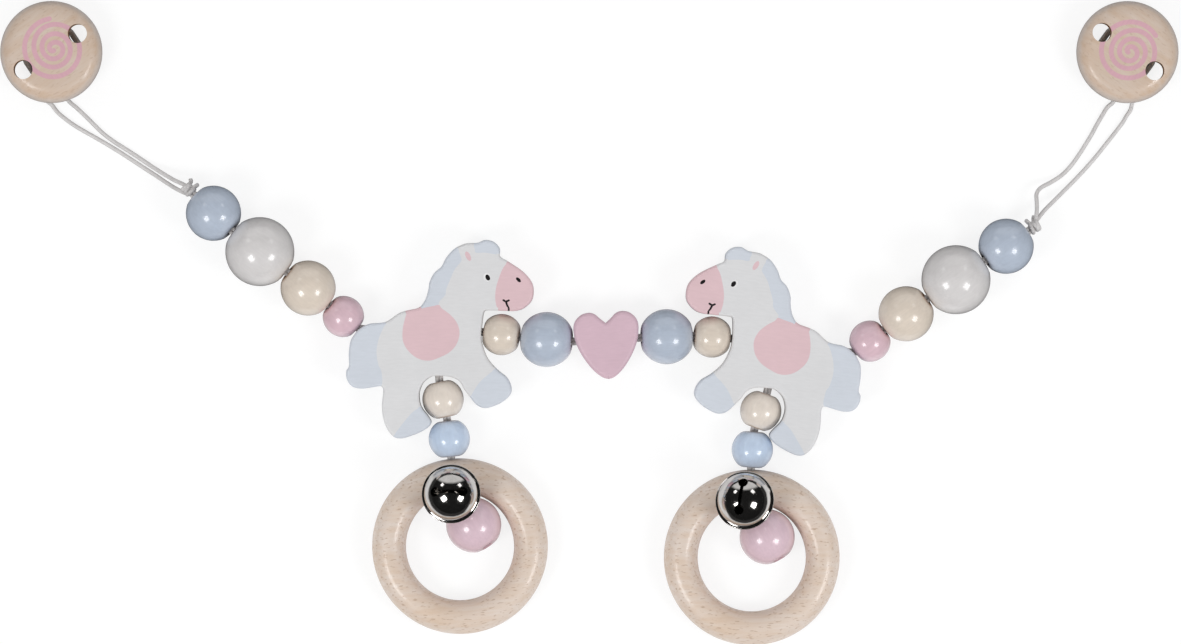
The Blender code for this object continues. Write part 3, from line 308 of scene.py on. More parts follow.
# How each end cord goes round its clip's wire, in the clip's frame, in millimetres
CLIP_CORD_ROUTES = {
    "left": ((20.3, -10.2, 0.8), (17.9, -10.6, 0.8), (15.8, -10.7, 1.0), (14.2, -11.2, 2.4),
             (13.1, -11.1, 4.5), (12.5, -9.8, 5.3), (12.1, -8.4, 5.0), (12.0, -7.2, 3.4),
             (12.7, -6.2, 1.6), (14.4, -5.5, 0.9), (16.4, -5.0, 0.8), (18.7, -4.7, 0.8)),
    "right": ((18.2, 13.6, 0.8), (15.9, 13.5, 0.8), (13.9, 12.7, 1.0), (12.6, 12.1, 2.6),
              (11.9, 11.2, 4.6), (12.0, 9.7, 5.3), (12.1, 8.4, 5.0), (12.2, 7.2, 3.4),
              (12.9, 6.4, 1.6), (14.4, 6.3, 0.9), (16.0, 6.5, 0.8), (17.7, 6.7, 0.8),
              (20.1, 6.1, 0.8)),
}
KNOT_LENGTH = 5.2 * MM
CORD_CLEARANCE = 0.28 * MM
# In millimetres: the radius of the knot's turns, each turn's place along the cord and how far it
# leans, and the routes of the two cut ends, the outer parts of which are mirrored on the left
KNOT_RADIUS = 1.55
KNOT_TURNS = ((-1.15, 0.35), (0.25, -0.3), (1.45, 0.25))
KNOT_LEAN_ANGLE = 0.6
KNOT_ENDS = (
    ((0.9, -0.6, 0.9), (2.4, -1.7, 1.6), (3.3, -1.2, 2.4)),
    ((0.6, 0.9, -0.4), (2.7, -0.3, -0.9), (3.6, 0.4, -1.2)),
)
KNOT_STEPS = 24
KNOT_END_STEPS = 6
# The radius at which the threads' pattern is laid round the knot
KNOT_LAY_RADIUS = 2 * MM


# Colours and paint

def linear(colour):
    """A colour that is given as it shows on a screen, from 0 to 255, as the light it stands for."""
    shares = (value / 255 for value in colour)
    light = [share / 12.92 if share <= 0.04045 else ((share + 0.055) / 1.055) ** 2.4
             for share in shares]
    return (*light, 1.0)


def shade(light, *shares):
    """A colour of light times one share, or one for each of its three parts."""
    each = shares * 3 if len(shares) == 1 else shares
    return (*(value * share for value, share in zip(light, each)), 1.0)


def grey(value):
    return (value, value, value, 1.0)


def add_node(tree, kind, inputs, **settings):
    """A new node whose inputs are values or the sockets that feed them."""
    made = tree.nodes.new(kind)
    for key, value in settings.items():
        setattr(made, key, value)
    for key, value in inputs.items():
        if isinstance(value, bpy.types.NodeSocket):
            tree.links.new(value, made.inputs[key])
        else:
            made.inputs[key].default_value = value
    return made


class Paint:
    """A material of nodes round one shader, laid out in the piece's own coordinates."""

    def __init__(self, name, roughness, metallic=0.0, coat=0.0, coat_roughness=0.1, specular=0.5,
                 own=True):
        self.own = own
        self.material = bpy.data.materials.new(name)
        self.material.use_nodes = True
        self.tree = self.material.node_tree
        self.shader = self.tree.nodes["Principled BSDF"]
        self.shader.inputs["Metallic"].default_value = metallic
        self.shader.inputs["Roughness"].default_value = roughness
        self.shader.inputs["Coat Weight"].default_value = coat
        self.shader.inputs["Coat Roughness"].default_value = coat_roughness
        self.shader.inputs["Specular IOR Level"].default_value = specular

    def node(self, kind, inputs, **settings):
        return add_node(self.tree, kind, inputs, **settings)

    def math(self, operation, *values):
        return self.node("ShaderNodeMath", dict(enumerate(values)), operation=operation).outputs[0]

    def place(self, *scales):
        """The piece's own coordinates, stretched by a scale along each axis."""
        if self.own:
            places = self.node("ShaderNodeAttribute", {}, attribute_name="own_place").outputs["Vector"]
        else:
            places = self.node("ShaderNodeTexCoord", {}).outputs["Object"]
        return self.node("ShaderNodeMapping", {"Vector": places, "Scale": scales}).outputs[0]

    def noise(self, vector, scale, detail=2.0, roughness=0.5):
        inputs = {"Vector": vector, "Scale": scale, "Detail": detail, "Roughness": roughness}
        return self.node("ShaderNodeTexNoise", inputs).outputs["Fac"]

    def span(self, value, low, high, start=0.0, stop=1.0):
        """A value's place between low and high, as a share between start and stop."""
        inputs = {"Value": value, "From Min": low, "From Max": high, "To Min": start, "To Max": stop}
        return self.node("ShaderNodeMapRange", inputs).outputs[0]

    def across(self, places):
        """The distance from Z."""
        level = self.node("ShaderNodeVectorMath", {0: places, 1: (1.0, 1.0, 0.0)}, operation="MULTIPLY")
        return self.node("ShaderNodeVectorMath", {0: level.outputs[0]}, operation="LENGTH").outputs[1]

    def mix(self, share, first, second):
        inputs = {0: share, 6: first, 7: second}
        return self.node("ShaderNodeMix", inputs, data_type="RGBA").outputs[2]

    def finish(self, colour, height=None, depth=0.0, roughness=None):
        self.tree.links.new(colour, self.shader.inputs["Base Color"])
        if roughness is not None:
            self.tree.links.new(roughness, self.shader.inputs["Roughness"])
        if height is not None:
            bump = self.node("ShaderNodeBump", {"Height": height, "Distance": depth, "Strength": 1.0})
            self.tree.links.new(bump.outputs[0], self.shader.inputs["Normal"])
        return self.material


def lacquer(name, colour, rim, grain=0.05):
    """Satin lacquer on a turned bead whose bore is along Z, thin where the bore breaks the ball."""
    paint = Paint(name, 0.34, coat=1.0, coat_roughness=0.13)
    plain = paint.place(1.0, 1.0, 1.0)
    streaks = paint.noise(paint.place(1.0, 1.0, 0.12), 1300.0, 3.0)
    patches = paint.noise(plain, 230.0, 3.0)
    specks = paint.noise(plain, 2600.0, 2.0)
    light = shade(linear(colour), 1.05)
    dark = shade(linear(colour), 1.0 - 2.6 * grain)
    share = paint.math("ADD", paint.span(streaks, 0.35, 0.7, 0.0, 0.35),
                       paint.span(patches, 0.3, 0.7, 0.0, 0.4))
    base = paint.mix(share, light, dark)
    base = paint.mix(paint.span(specks, 0.66, 0.74, 0.0, 0.16), base, dark)
    across = paint.across(plain)
    uneven = paint.math("MULTIPLY", paint.math("SUBTRACT", patches, 0.5), 2.4 * MM)
    near = paint.span(paint.math("ADD", across, uneven), 2.3 * MM, 4.6 * MM, 0.85, 0.0)
    base = paint.mix(near, base, linear(rim))
    ripple = paint.math("ADD", paint.noise(plain, 420.0, 2.0), paint.math("MULTIPLY", specks, 0.12))
    return paint.finish(base, ripple, 0.16 * MM, paint.span(patches, 0.3, 0.7, 0.28, 0.4))


def board_paint(name, colour, depth=0.05):
    """Flat milk paint on a sawn board, with faint brush marks, pinholes and rubbed places."""
    paint = Paint(name, 0.5, coat=0.12, coat_roughness=0.3)
    plain = paint.place(1.0, 1.0, 1.0)
    patches = paint.noise(plain, 75.0, 4.0, 0.6)
    brush = paint.noise(paint.place(0.18, 1.0, 1.0), 1500.0, 3.0)
    specks = paint.noise(plain, 1900.0, 2.0)
    first = linear(colour)
    dark = shade(first, 1.0 - depth * 2.0)
    share = paint.math("ADD", paint.span(patches, 0.3, 0.7, 0.0, 0.55),
                       paint.span(brush, 0.35, 0.65, 0.0, 0.3))
    base = paint.mix(share, first, dark)
    base = paint.mix(paint.span(specks, 0.69, 0.76, 0.0, 0.5), base, shade(first, 0.86))
    height = paint.math("ADD", brush, paint.math("MULTIPLY", patches, 2.0))
    return paint.finish(base, height, 0.035 * MM, paint.span(patches, 0.3, 0.7, 0.44, 0.56))


# The grey that a rounded edge is painted with: painted shade and sheen.
EDGE_SHADE_AND_SHEEN_GREY = (204, 205, 208)


def beech(name, colour, flecks, gloss=0.35, rim=None):
    """Pale beech under clear lacquer: grain along Y, short darker flecks, and perhaps a grey rim of
    painted shade and sheen.
    """
    paint = Paint(name, 0.42, coat=gloss, coat_roughness=0.14)
    bend = paint.noise(paint.place(1.0, 1.0, 1.0), 60.0, 2.0)
    grain = paint.noise(paint.place(1.0, 0.09, 1.0), 520.0, 5.0, 0.6)
    fine = paint.noise(paint.place(1.0, 0.16, 1.0), 2300.0, 2.0)
    fleck = paint.noise(paint.place(1.0, 0.28, 1.0), 1500.0, 1.0)
    first = linear(colour)
    warm = shade(first, 0.89, 0.78, 0.66)
    brown = shade(first, 0.62, 0.48, 0.36)
    share = paint.math("ADD", paint.span(grain, 0.34, 0.68, 0.0, 0.62),
                       paint.span(bend, 0.3, 0.7, 0.0, 0.35))
    base = paint.mix(share, first, warm)
    base = paint.mix(paint.span(fleck, 0.61, 0.70, 0.0, flecks), base, brown)
    # A band just inside the edge is painted grey: painted shade and sheen on the rounded edge.
    if rim:
        across = paint.across(paint.place(1.0, 1.0, 1.0))
        base = paint.mix(paint.span(across, *rim, 0.0, 0.5), base, linear(EDGE_SHADE_AND_SHEEN_GREY))
    height = paint.math("ADD", grain, paint.math("MULTIPLY", fine, 0.5))
    return paint.finish(base, height, 0.05 * MM, paint.span(grain, 0.3, 0.7, 0.36, 0.5))


def metal(name, colour, roughness, wear, metallic=1.0):
    """Plated metal with hazy patches, fine rub marks and a little ripple."""
    paint = Paint(name, roughness, metallic)
    plain = paint.place(1.0, 1.0, 1.0)
    haze = paint.noise(plain, 260.0, 4.0, 0.65)
    marks = paint.noise(paint.place(1.0, 0.06, 1.0), 3200.0, 2.0)
    first = linear(colour)
    base = paint.mix(paint.span(haze, 0.42, 0.72, 0.0, wear), first, shade(first, 0.78))
    rough = paint.math("ADD", paint.span(haze, 0.35, 0.75, roughness * 0.7, roughness * 1.7),
                       paint.span(marks, 0.6, 0.75, 0.0, 0.08))
    return paint.finish(base, paint.noise(plain, 330.0, 1.0), 0.05 * MM, rough)


CORD_COLOUR = (221, 218, 217)


def cord_paint(name, turns):
    """Smooth milky cord: fine twisted threads under its skin, and faint darker patches."""
    paint = Paint(name, 0.48, coat=0.25, coat_roughness=0.3, own=False)
    marks = paint.node("ShaderNodeTexCoord", {}).outputs["UV"]
    parts = paint.node("ShaderNodeSeparateXYZ", {"Vector": marks}).outputs
    along = paint.math("MULTIPLY", parts[0], turns)
    lay = paint.math("ADD", along, paint.math("MULTIPLY", parts[1], 5.0))
    thread = paint.math("ABSOLUTE", paint.math("SINE", paint.math("MULTIPLY", lay, math.pi)))
    patches = paint.noise(paint.place(1.0, 1.0, 1.0), 420.0, 3.0)
    first = linear(CORD_COLOUR)
    # Painted shade darkens the grooves between the threads; the patches are darker at random.
    share = paint.math("ADD", paint.span(thread, 0.0, 0.5, 0.35, 0.0),
                       paint.span(patches, 0.35, 0.7, 0.0, 0.5))
    return paint.finish(paint.mix(share, first, shade(first, 0.8)), thread, 0.035 * MM)


def plain_ink(name, colour):
    """Thick ink or enamel with a soft mottle."""
    paint = Paint(name, 0.4, coat=0.1, coat_roughness=0.3)
    mottle = paint.noise(paint.place(1.0, 1.0, 1.0), 1400.0, 3.0)
    first = linear(colour)
    base = paint.mix(paint.span(mottle, 0.35, 0.7), first, shade(first, 0.82))
    return paint.finish(base, mottle, 0.02 * MM)


MATERIALS = {
    "blue_bead": lacquer("blue_lacquer", (187, 198, 214), (150, 154, 168)),
    "cream_bead": lacquer("cream_lacquer", (229, 216, 201), (214, 162, 116)),
    "pink_bead": lacquer("pink_lacquer", (226, 194, 204), (190, 146, 156)),
    "white_bead": lacquer("white_lacquer", (222, 219, 218), (184, 172, 162), 0.04),
    # The pendant beads' lacquers are the main beads' colours made paler: painted light, which lifts the
    # shade that the pendant beads lie in.
    "pendant_blue_bead": lacquer("pendant_blue_lacquer_painted_light", (202, 219, 241), (162, 170, 188)),
    "pendant_cream_bead": lacquer("pendant_cream_lacquer_painted_light", (237, 226, 214), (216, 166, 122)),
    "pendant_pink_bead": lacquer("pendant_pink_lacquer_painted_light", (229, 201, 212), (194, 152, 164)),
    "heart": board_paint("heart_paint", (222, 190, 203), 0.06),
    "white": board_paint("horse_white", (228, 228, 229)),
    "pink": board_paint("horse_pink", (231, 199, 204)),
    "blue": board_paint("horse_blue", (216, 222, 231)),
    "black": plain_ink("horse_ink", (24, 20, 22)),
    "eye": plain_ink("horse_eye_white", (243, 243, 243)),
    "beech": beech("ring_beech", (232, 219, 209), 0.7),
    # The disc's outer band gets painted shade and sheen.
    "disc": beech("disc_beech", (220, 203, 189), 0.3,
                  rim=(0.9 * DISC_DIAMETER / 2, DISC_DIAMETER / 2)),
    "raw": beech("drilled_wood", (176, 140, 106), 0.6, gloss=0.0),
    "spiral": board_paint("spiral_paint", (224, 176, 187), 0.08),
    "nickel": metal("bell_nickel", (214, 211, 208), 0.09, 0.6),
    "steel": metal("clip_steel", (196, 194, 191), 0.34, 0.6, metallic=0.4),
    "ball": metal("ball_steel", (150, 146, 142), 0.2, 0.9),
    "cord": cord_paint("doubled_cord", TWISTS_PER_METRE),
}


# Directions and meshes

def pivot(name):
    return Vector(JOINTS[name]["pos_m"])


def axis(name):
    return Vector(JOINTS[name]["axis"]).normalized()


def axes_frame(origin, x_axis, y_axis, z_axis):
    return Matrix.Translation(origin) @ Matrix((x_axis, y_axis, z_axis)).transposed().to_4x4()


def bore_frame(origin, direction):
    """Local Z along a bore, and local X level, square to it."""
    side = UP.cross(direction).normalized()
    return axes_frame(origin, side, direction.cross(side), direction)


def spread(start, stop, steps):
    """Even values from start to stop, with both of them."""
    return [start + (stop - start) * k / steps for k in range(steps + 1)]


def full_turn(steps):
    """Even angles all the way round."""
    return [math.tau * k / steps for k in range(steps)]


def spline(points, count, closed=False):
    """A Catmull-Rom curve through the points, with a count of steps to each span."""
    total = len(points)
    spans = total if closed else total - 1
    result = []
    for i in range(spans):
        if closed:
            p0, p1, p2, p3 = (points[(i + k - 1) % total] for k in range(4))
        else:
            p1, p2 = points[i], points[i + 1]
            p0 = points[i - 1] if i else p1 * 2 - p2
            p3 = points[i + 2] if i + 2 < total else p2 * 2 - p1
        for k in range(count):
            t = k / count
            result.append(0.5 * (2 * p1 + (p2 - p0) * t + (2 * p0 - 5 * p1 + 4 * p2 - p3) * t ** 2
                                 + (3 * p1 - p0 - 3 * p2 + p3) * t ** 3))
    return result if closed else result + [points[-1]]


def even_path(points, spacing):
    """Points at even steps along a line of points."""
    total = sum((b - a).length for a, b in zip(points, points[1:]))
    count = max(2, round(total / spacing))
    result, here, index = [points[0]], 0.0, 0
    start = 0.0
    for k in range(1, count):
        want = total * k / count
        while start + (points[index + 1] - points[index]).length < want:
            start += (points[index + 1] - points[index]).length
            index += 1
        step = points[index + 1] - points[index]
        result.append(points[index] + step * ((want - start) / step.length))
    return result + [points[-1]]


def new_mesh(name, vertices, faces, slots=None, materials=("raw",), sharp=SHARP_ANGLE):
    mesh = bpy.data.meshes.new(name)
    mesh.from_pydata(vertices, [], faces)
    for key in materials:
        mesh.materials.append(MATERIALS[key])
    if slots:
        mesh.polygons.foreach_set("material_index", slots)
    mesh.shade_smooth()
    mesh.set_sharp_from_angle(angle=math.radians(sharp))
    return mesh


def add(name, data):
    item = bpy.data.objects.new(name, data)
    bpy.context.scene.collection.objects.link(item)
    return item


def dress(name, mesh, matrix, body, node=None):
    """A piece in its place that rides on a body and stands for a node."""
    places = [0.0] * (3 * len(mesh.vertices))
    mesh.vertices.foreach_get("co", places)
    mesh.attributes.new("own_place", "FLOAT_VECTOR", "POINT").data.foreach_set("vector", places)
    mesh.transform(matrix)
    item = add(name, mesh)
    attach(item, body)
    if node:
        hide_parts(node)
    return item


def turned(name, profile, steps, materials, slots=None, sharp=SHARP_ANGLE):
    """A solid turned round Z from a closed line of (radius, height) points, anticlockwise."""
    count = len(profile)
    rows = []
    vertices = []
    for radius, height in profile:
        if radius == 0.0:
            rows.append([len(vertices)] * steps)
            vertices.append((0.0, 0.0, height))
        else:
            rows.append(list(range(len(vertices), len(vertices) + steps)))
            vertices += [(radius * math.cos(turn), radius * math.sin(turn), height)
                         for turn in full_turn(steps)]
    faces = []
    colours = []
    for i in range(count):
        lower, upper = rows[i], rows[(i + 1) % count]
        if lower[0] == lower[-1] and upper[0] == upper[-1]:
            continue
        for k in range(steps):
            after = (k + 1) % steps
            corners = [lower[k], lower[after], upper[after], upper[k]]
            faces.append(list(dict.fromkeys(corners)))
            colours.append(slots[i] if slots else 0)
    return new_mesh(name, vertices, faces, colours, materials, sharp)


def drilled(mesh, cutters):
    """The mesh with each cutter taken out of it."""
    item = add("blank", mesh)
    tools = []
    for cutter in cutters:
        tool = add("drill", cutter)
        tools.append(tool)
        boolean = item.modifiers.new("drill", "BOOLEAN")
        boolean.object = tool
        boolean.operation = "DIFFERENCE"
        boolean.solver = "EXACT"
        boolean.material_mode = "TRANSFER"
    bpy.context.view_layer.update()
    solid = item.evaluated_get(bpy.context.evaluated_depsgraph_get())
    result = bpy.data.meshes.new_from_object(solid)
    for spare in (item, *tools):
        bpy.data.objects.remove(spare, do_unlink=True)
    result.name = mesh.name
    result.shade_smooth()
    result.set_sharp_from_angle(angle=math.radians(SHARP_ANGLE))
    return result


def soften(item, width, segments):
    """Rounds off a piece's sharp edges."""
    bevel = item.modifiers.new("softened_edges", "BEVEL")
    bevel.width = width
    bevel.segments = segments
    bevel.limit_method = "ANGLE"
    bevel.angle_limit = math.radians(60.0)


def drill(diameter, start, end, matrix):
    """A cylinder along the matrix's Z between two heights."""
    radius = diameter / 2
    profile = [(0.0, start), (radius, start), (radius, end), (0.0, end)]
    mesh = turned("drill", profile, ROUND_STEPS, ("raw",))
    mesh.transform(matrix)
    return mesh


# Boards: flat forms with rounded edges, whose faces carry paint in their own places

# How far an edge's rounding may go in: shares of the line's bend there and of the chord over its
# point; and how much of the most it may gain from point to point, after so many passes
BEND_SHARE = 0.7
CHORD_SHARE = 0.2
GAIN_SHARE = 0.03
EASING_PASSES = 6
NEARLY_STRAIGHT = 1e-9


def inward(points, most):
    """Each point's way into the material on the line's left, as long as its bend allows up to most."""
    count = len(points)
    ways = []
    reaches = []
    for i in range(count):
        before, here, after = points[i - 1], points[i], points[(i + 1) % count]
        along = (after - before).normalized()
        way = Vector((-along.y, along.x))
        ways.append(way)
        chord = (after - before).length
        far = points[(i + 2) % count] - points[i - 2]
        depth = way.dot((points[(i + 2) % count] + points[i - 2]) / 2 - here)
        radius = far.length_squared / 8 / depth if depth > NEARLY_STRAIGHT else math.inf
        reaches.append(min(most, max(radius * BEND_SHARE, chord * CHORD_SHARE)))
    for _ in range(EASING_PASSES):
        reaches = [min(reaches[i],
                       (reaches[i - 1] + reaches[(i + 1) % count]) / 2 + most * GAIN_SHARE)
                   for i in range(count)]
    return [way * (reach / most) for way, reach in zip(ways, reaches)]


def inside(point, loop):
    """Whether a point lies inside a closed line."""
    within = False
    for a, b in zip(loop, loop[1:] + loop[:1]):
        if (a.y > point.y) != (b.y > point.y):
            if point.x < a.x + (b.x - a.x) * (point.y - a.y) / (b.y - a.y):
                within = not within
    return within


# Corners of a face that lie nearer to each other than this, in millimetres, are one
WELD = 1e-4


def flat_faces(rings, lines):
    """Corners and triangles of the plane between the rings, with the lines as edges in it."""
    scale = 1 / MM
    points = []
    edges = []
    for ring in rings:
        start = len(points)
        points += [point * scale for point in ring]
        edges += [(start + i, start + (i + 1) % len(ring)) for i in range(len(ring))]
    for line, closed in lines:
        start = len(points)
        points += [point * scale for point in line]
        edges += [(start + i, start + i + 1) for i in range(len(line) - 1)]
        if closed:
            edges.append((start + len(line) - 1, start))
    corners, _, triangles = delaunay_2d_cdt(points, edges, [], 0, WELD)[:3]
    corners = [corner * MM for corner in corners]
    kept = []
    for triangle in triangles:
        middle = middle_of([corners[i] for i in triangle])
        if sum(inside(middle, ring) for ring in rings) == 1:
            kept.append(triangle)
    return corners, kept


def middle_of(corners):
    return sum(corners, Vector((0.0, 0.0))) / len(corners)


def corner_key(point):
    """What corners at the same place, to a thousandth of a millimetre, have in common."""
    return round(point.x / MM, 3), round(point.y / MM, 3)


def slot_at(point, places):
    for loop, slot in places:
        if inside(point, loop):
            return slot
    return 0


# How far inside the face's edge a side's paint is looked up, and how wide a flat rim of the face
# belongs to the rounded edge
PAINT_TEST_STEP = 0.04 * MM
EDGE_LIP = 0.1 * MM


def board(name, loops, profile, materials, top=(), bottom=(), lines=()):
    """A board between loops that keep the material on their left.

    The profile runs from the edge of the top face, over the side, to the edge of the bottom face,
    as (distance into the board, height). Top and bottom give places of paint on each face.
    """
    most = max(reach for reach, _ in profile)
    vertices, faces, slots, first_rings, last_rings = [], [], [], [], []
    for loop in loops:
        ways = inward(loop, most)
        rows = []
        for reach, height in profile:
            rows.append(range(len(vertices), len(vertices) + len(loop)))
            vertices += [(*(point + way * reach), height) for point, way in zip(loop, ways)]
        inner = [point + way * profile[0][0] for point, way in zip(loop, ways)]
        low = [point + way * profile[-1][0] for point, way in zip(loop, ways)]
        first_rings.append((inner, rows[0]))
        last_rings.append((low, rows[-1]))
        halfway = len(profile) // 2
        for i in range(len(loop)):
            after = (i + 1) % len(loop)
            test = (inner[i] + inner[after]) / 2 + (ways[i] + ways[after]) * PAINT_TEST_STEP
            above, below = slot_at(test, top), slot_at(test, bottom)
            for row in range(len(profile) - 1):
                faces.append((rows[row][i], rows[row + 1][i], rows[row + 1][after], rows[row][after]))
                slots.append(above if row < halfway else below)
    for rings, height, places, turned_over in ((first_rings, profile[0][1], top, False),
                                               (last_rings, profile[-1][1], bottom, True)):
        known = {}
        for ring, row in rings:
            known.update(zip(map(corner_key, ring), row))
        corners, triangles = flat_faces([ring for ring, _ in rings], lines if places else ())
        numbers = []
        for corner in corners:
            key = corner_key(corner)
            if key not in known:
                known[key] = len(vertices)
                vertices.append((corner.x, corner.y, height))
            numbers.append(known[key])
        for triangle in triangles:
            middle = middle_of([corners[i] for i in triangle])
            face = tuple(numbers[i] for i in triangle)
            if len(set(face)) == 3:
                faces.append(face[::-1] if turned_over else face)
                slots.append(slot_at(middle, places))
    return new_mesh(name, vertices, faces, slots, materials)


def edge_profile(top, bottom, upper, lower, steps=6, lip=EDGE_LIP):
    """A side that is rounded by one radius at the top and another at the bottom."""
    profile = [(upper + lip, top)]
    for turn in spread(0.0, math.pi / 2, steps):
        profile.append((upper * (1 - math.sin(turn)), top - upper * (1 - math.cos(turn))))
    for turn in spread(0.0, math.pi / 2, steps):
        profile.append((lower * (1 - math.cos(turn)), bottom + lower * (1 - math.sin(turn))))
    return profile + [(lower + lip, bottom)]


def circle(radius, steps, sign=1.0):
    return [Vector((radius * math.cos(turn), radius * math.sin(turn) * sign))
            for turn in full_turn(steps)]


def oval(middle, axes, slant):
    turn = Matrix.Rotation(slant, 2)
    return [middle + turn @ Vector((axes[0] * math.cos(a), axes[1] * math.sin(a)))
            for a in full_turn(OVAL_STEPS)]


def stroke(points, width, cap_steps=5):
    """The closed edge of a line drawn with a round tip."""
    count = len(points)
    sides = [[], []]
    for i in range(count):
        along = (points[min(i + 1, count - 1)] - points[max(i - 1, 0)]).normalized()
        way = Vector((-along.y, along.x)) * width / 2
        sides[0].append(points[i] + way)
        sides[1].append(points[i] - way)
    start = (points[0] - points[1]).normalized() * width / 2
    stop = (points[-1] - points[-2]).normalized() * width / 2
    caps = []
    for point, tip in ((points[-1], stop), (points[0], start)):
        side = Vector((-tip.y, tip.x))
        caps.append([point + side * math.cos(a) + tip * math.sin(a)
                     for a in spread(0.0, math.pi, cap_steps)[1:-1]])
    return sides[0] + caps[0] + sides[1][::-1] + caps[1]


# Beads

def bead_profile(diameter):
    """Half of a bead's section, from the middle of its bore round to the middle again."""
    radius = diameter / 2
    end = math.sqrt(radius ** 2 - BEAD_END_RADIUS ** 2)
    upper = [(x * MM, end + y * MM) for x, y in BEAD_LIP]
    first = math.asin(BEAD_RELIEF_RADIUS / radius)
    arc = spread(first, math.pi - first, BEAD_ARC_STEPS)
    ball = [(radius * math.sin(a), radius * math.cos(a)) for a in arc]
    return [*[(x, -y) for x, y in upper], *ball[::-1], *upper[::-1]]


def bead(node, joint, diameter, paint):
    name = f"{node}_wood"
    profile = bead_profile(diameter)
    slots = [0] * len(profile)
    # The bore's wall shows the drilled wood, and the lacquer reaches a little way in at each mouth
    slots[-1] = slots[0] = slots[-2] = 1
    mesh = turned(name, profile, BEAD_STEPS, (paint, "raw"), slots)
    matrix = bore_frame(pivot(joint), axis(joint))
    dress(name, mesh, matrix, node, node)


# The heart and the horses

def heart():
    half = [Vector((x * HEART_WIDTH / 2, y * HEART_HEIGHT)) for x, y in HEART_HALF_OUTLINE_SHARES]
    right = spline(half + [Vector((0.0, 0.0))], HEART_STEPS)
    left = [Vector((-point.x, point.y)) for point in right[-2:0:-1]]
    middle = Vector((0.0, HEART_BORE_SHARE * HEART_HEIGHT))
    loop = [point - middle for point in right + left][::-1]
    profile = edge_profile(HEART_THICKNESS / 2, -HEART_THICKNESS / 2, HEART_EDGE, HEART_EDGE,
                           HEART_STEPS)
    mesh = board("heart_board", [loop], profile, ("heart",))
    sideways = Matrix.Rotation(math.pi / 2, 4, "Y")
    mesh = drilled(mesh, [drill(BORE, -HEART_WIDTH, HEART_WIDTH, sideways)])
    along = axis("heart_spin")
    along = -along if along.x < 0 else along
    matrix = axes_frame(pivot("heart_spin"), along, UP.cross(along), UP)
    dress("heart_board", mesh, matrix, "heart", "heart")


def horse_point(shares):
    return Vector((shares[0] * HORSE_LENGTH, shares[1] * HORSE_HEIGHT))


def horse_local(shares, facing):
    """A point of the horse's outline, from the middle of its long bore."""
    middle = (horse_point(CHEST_MOUTH_SHARES) + horse_point(TAIL_MOUTH_SHARES)) / 2
    point = horse_point(shares) - middle
    return Vector((point.x * facing, point.y))


def nearest(point, ring):
    return min(ring, key=lambda other: (other - point).length)


def stroke_to_ring(points, width, ring):
    """The closed edge of a line that runs off the board between two corners of its face."""
    within = [point for point in points if inside(point, ring)]
    beyond = points[len(within)]
    pairs = [(ring[i - 1], ring[i]) for i in range(len(ring))]
    pair = min(pairs, key=lambda ends: ((ends[0] + ends[1]) / 2 - beyond).length)
    middle = (pair[0] + pair[1]) / 2
    kept = [point for point in within if (point - middle).length > width]
    loop = stroke(kept + [middle], width, cap_steps=1)
    count = len(kept) + 1
    loop[count - 1], loop[count] = sorted(pair, key=lambda end: (end - loop[count - 1]).length)
    return loop


def horse_paint(facing, ring):
    """The lines of the painted borders, and the places that they close off, topmost first."""
    slots = {"white": 0, "pink": 1, "blue": 2, "black": 3, "eye": 4}
    lines = []
    places = []
    for colour, middle, axes, slant in HORSE_OVALS:
        loop = oval(horse_local(middle, facing), (axes[0] * MM, axes[1] * MM),
                    math.radians(slant) * facing)
        lines.append((loop, True))
        places.append((loop, slots[colour]))
    tick, curve = (spline([horse_local(mark, facing) for mark in marks], HORSE_PAINT_STEPS)
                   for marks in (MOUTH_TICK, MOUTH_CURVE))
    for loop in (stroke(tick, MOUTH_STROKE), stroke_to_ring(curve, MOUTH_STROKE, ring)):
        lines.append((loop, True))
        places.append((loop, slots["black"]))
    for colour, border, outside in HORSE_BORDERS.values():
        points = spline([horse_local(share, facing) for share in border], HORSE_PAINT_STEPS)
        for index in (0, -1):
            edge = nearest(points[index], ring)
            if (edge - points[index]).length < BORDER_SNAP:
                points[index] = edge
            elif index:
                points.append(edge)
            else:
                points.insert(0, edge)
        lines.append((points, False))
        places.append((points + [horse_local(share, facing) for share in outside], slots[colour]))
    return lines, places


def horse(side):
    """Builds a horse and returns its matrix, from which its pendant hangs."""
    facing = -SIDE_SIGNS[side]
    points = [horse_local(share, facing) for share in HORSE_OUTLINE_SHARES]
    loop = spline(points, HORSE_OUTLINE_STEPS, closed=True)
    if facing > 0:
        loop = loop[::-1]
    profile = edge_profile(HORSE_THICKNESS / 2, -HORSE_THICKNESS / 2, HORSE_EDGE, HORSE_EDGE)
    reach = profile[0][0]
    face_edge = [point + way * reach for point, way in zip(loop, inward(loop, reach))]
    lines, places = horse_paint(facing, face_edge)
    mesh = board(f"{side}_horse_board", [loop], profile, ("white", "pink", "blue", "black", "eye"),
                 top=places, bottom=places, lines=lines)
    tail = horse_local(TAIL_MOUTH_SHARES, facing)
    end = tail.length + 2 * OVERRUN
    long_bore = drill(BORE, -end, end, bore_frame(Vector(), Vector((*tail, 0.0)).normalized()))
    belly = horse_local(BELLY_MOUTH_SHARES, facing)
    rise = bore_frame(Vector((*belly, 0.0)), Vector((0.0, 1.0, 0.0)))
    belly_bore = drill(BELLY_BORE, -3 * OVERRUN, -belly.y, rise)
    mesh = drilled(mesh, [long_bore, belly_bore])
    own = math.atan2(tail.y, tail.x)
    along = axis(f"{side}_horse_rock")
    turn = math.atan2(along.y, along.x) - own
    matrix = Matrix.Translation(pivot(f"{side}_horse_rock")) @ Matrix.Rotation(turn, 4, "Z")
    dress(f"{side}_horse_board", mesh, matrix, f"{side}_horse", f"{side}_horse")
    return matrix


# Rings, bells and their balls

def ring_frame(side):
    drop = axis(f"{side}_ring_twist")
    across = UP.cross(drop).normalized()
    return axes_frame(pivot(f"{side}_ring_twist"), drop, across, drop.cross(across))


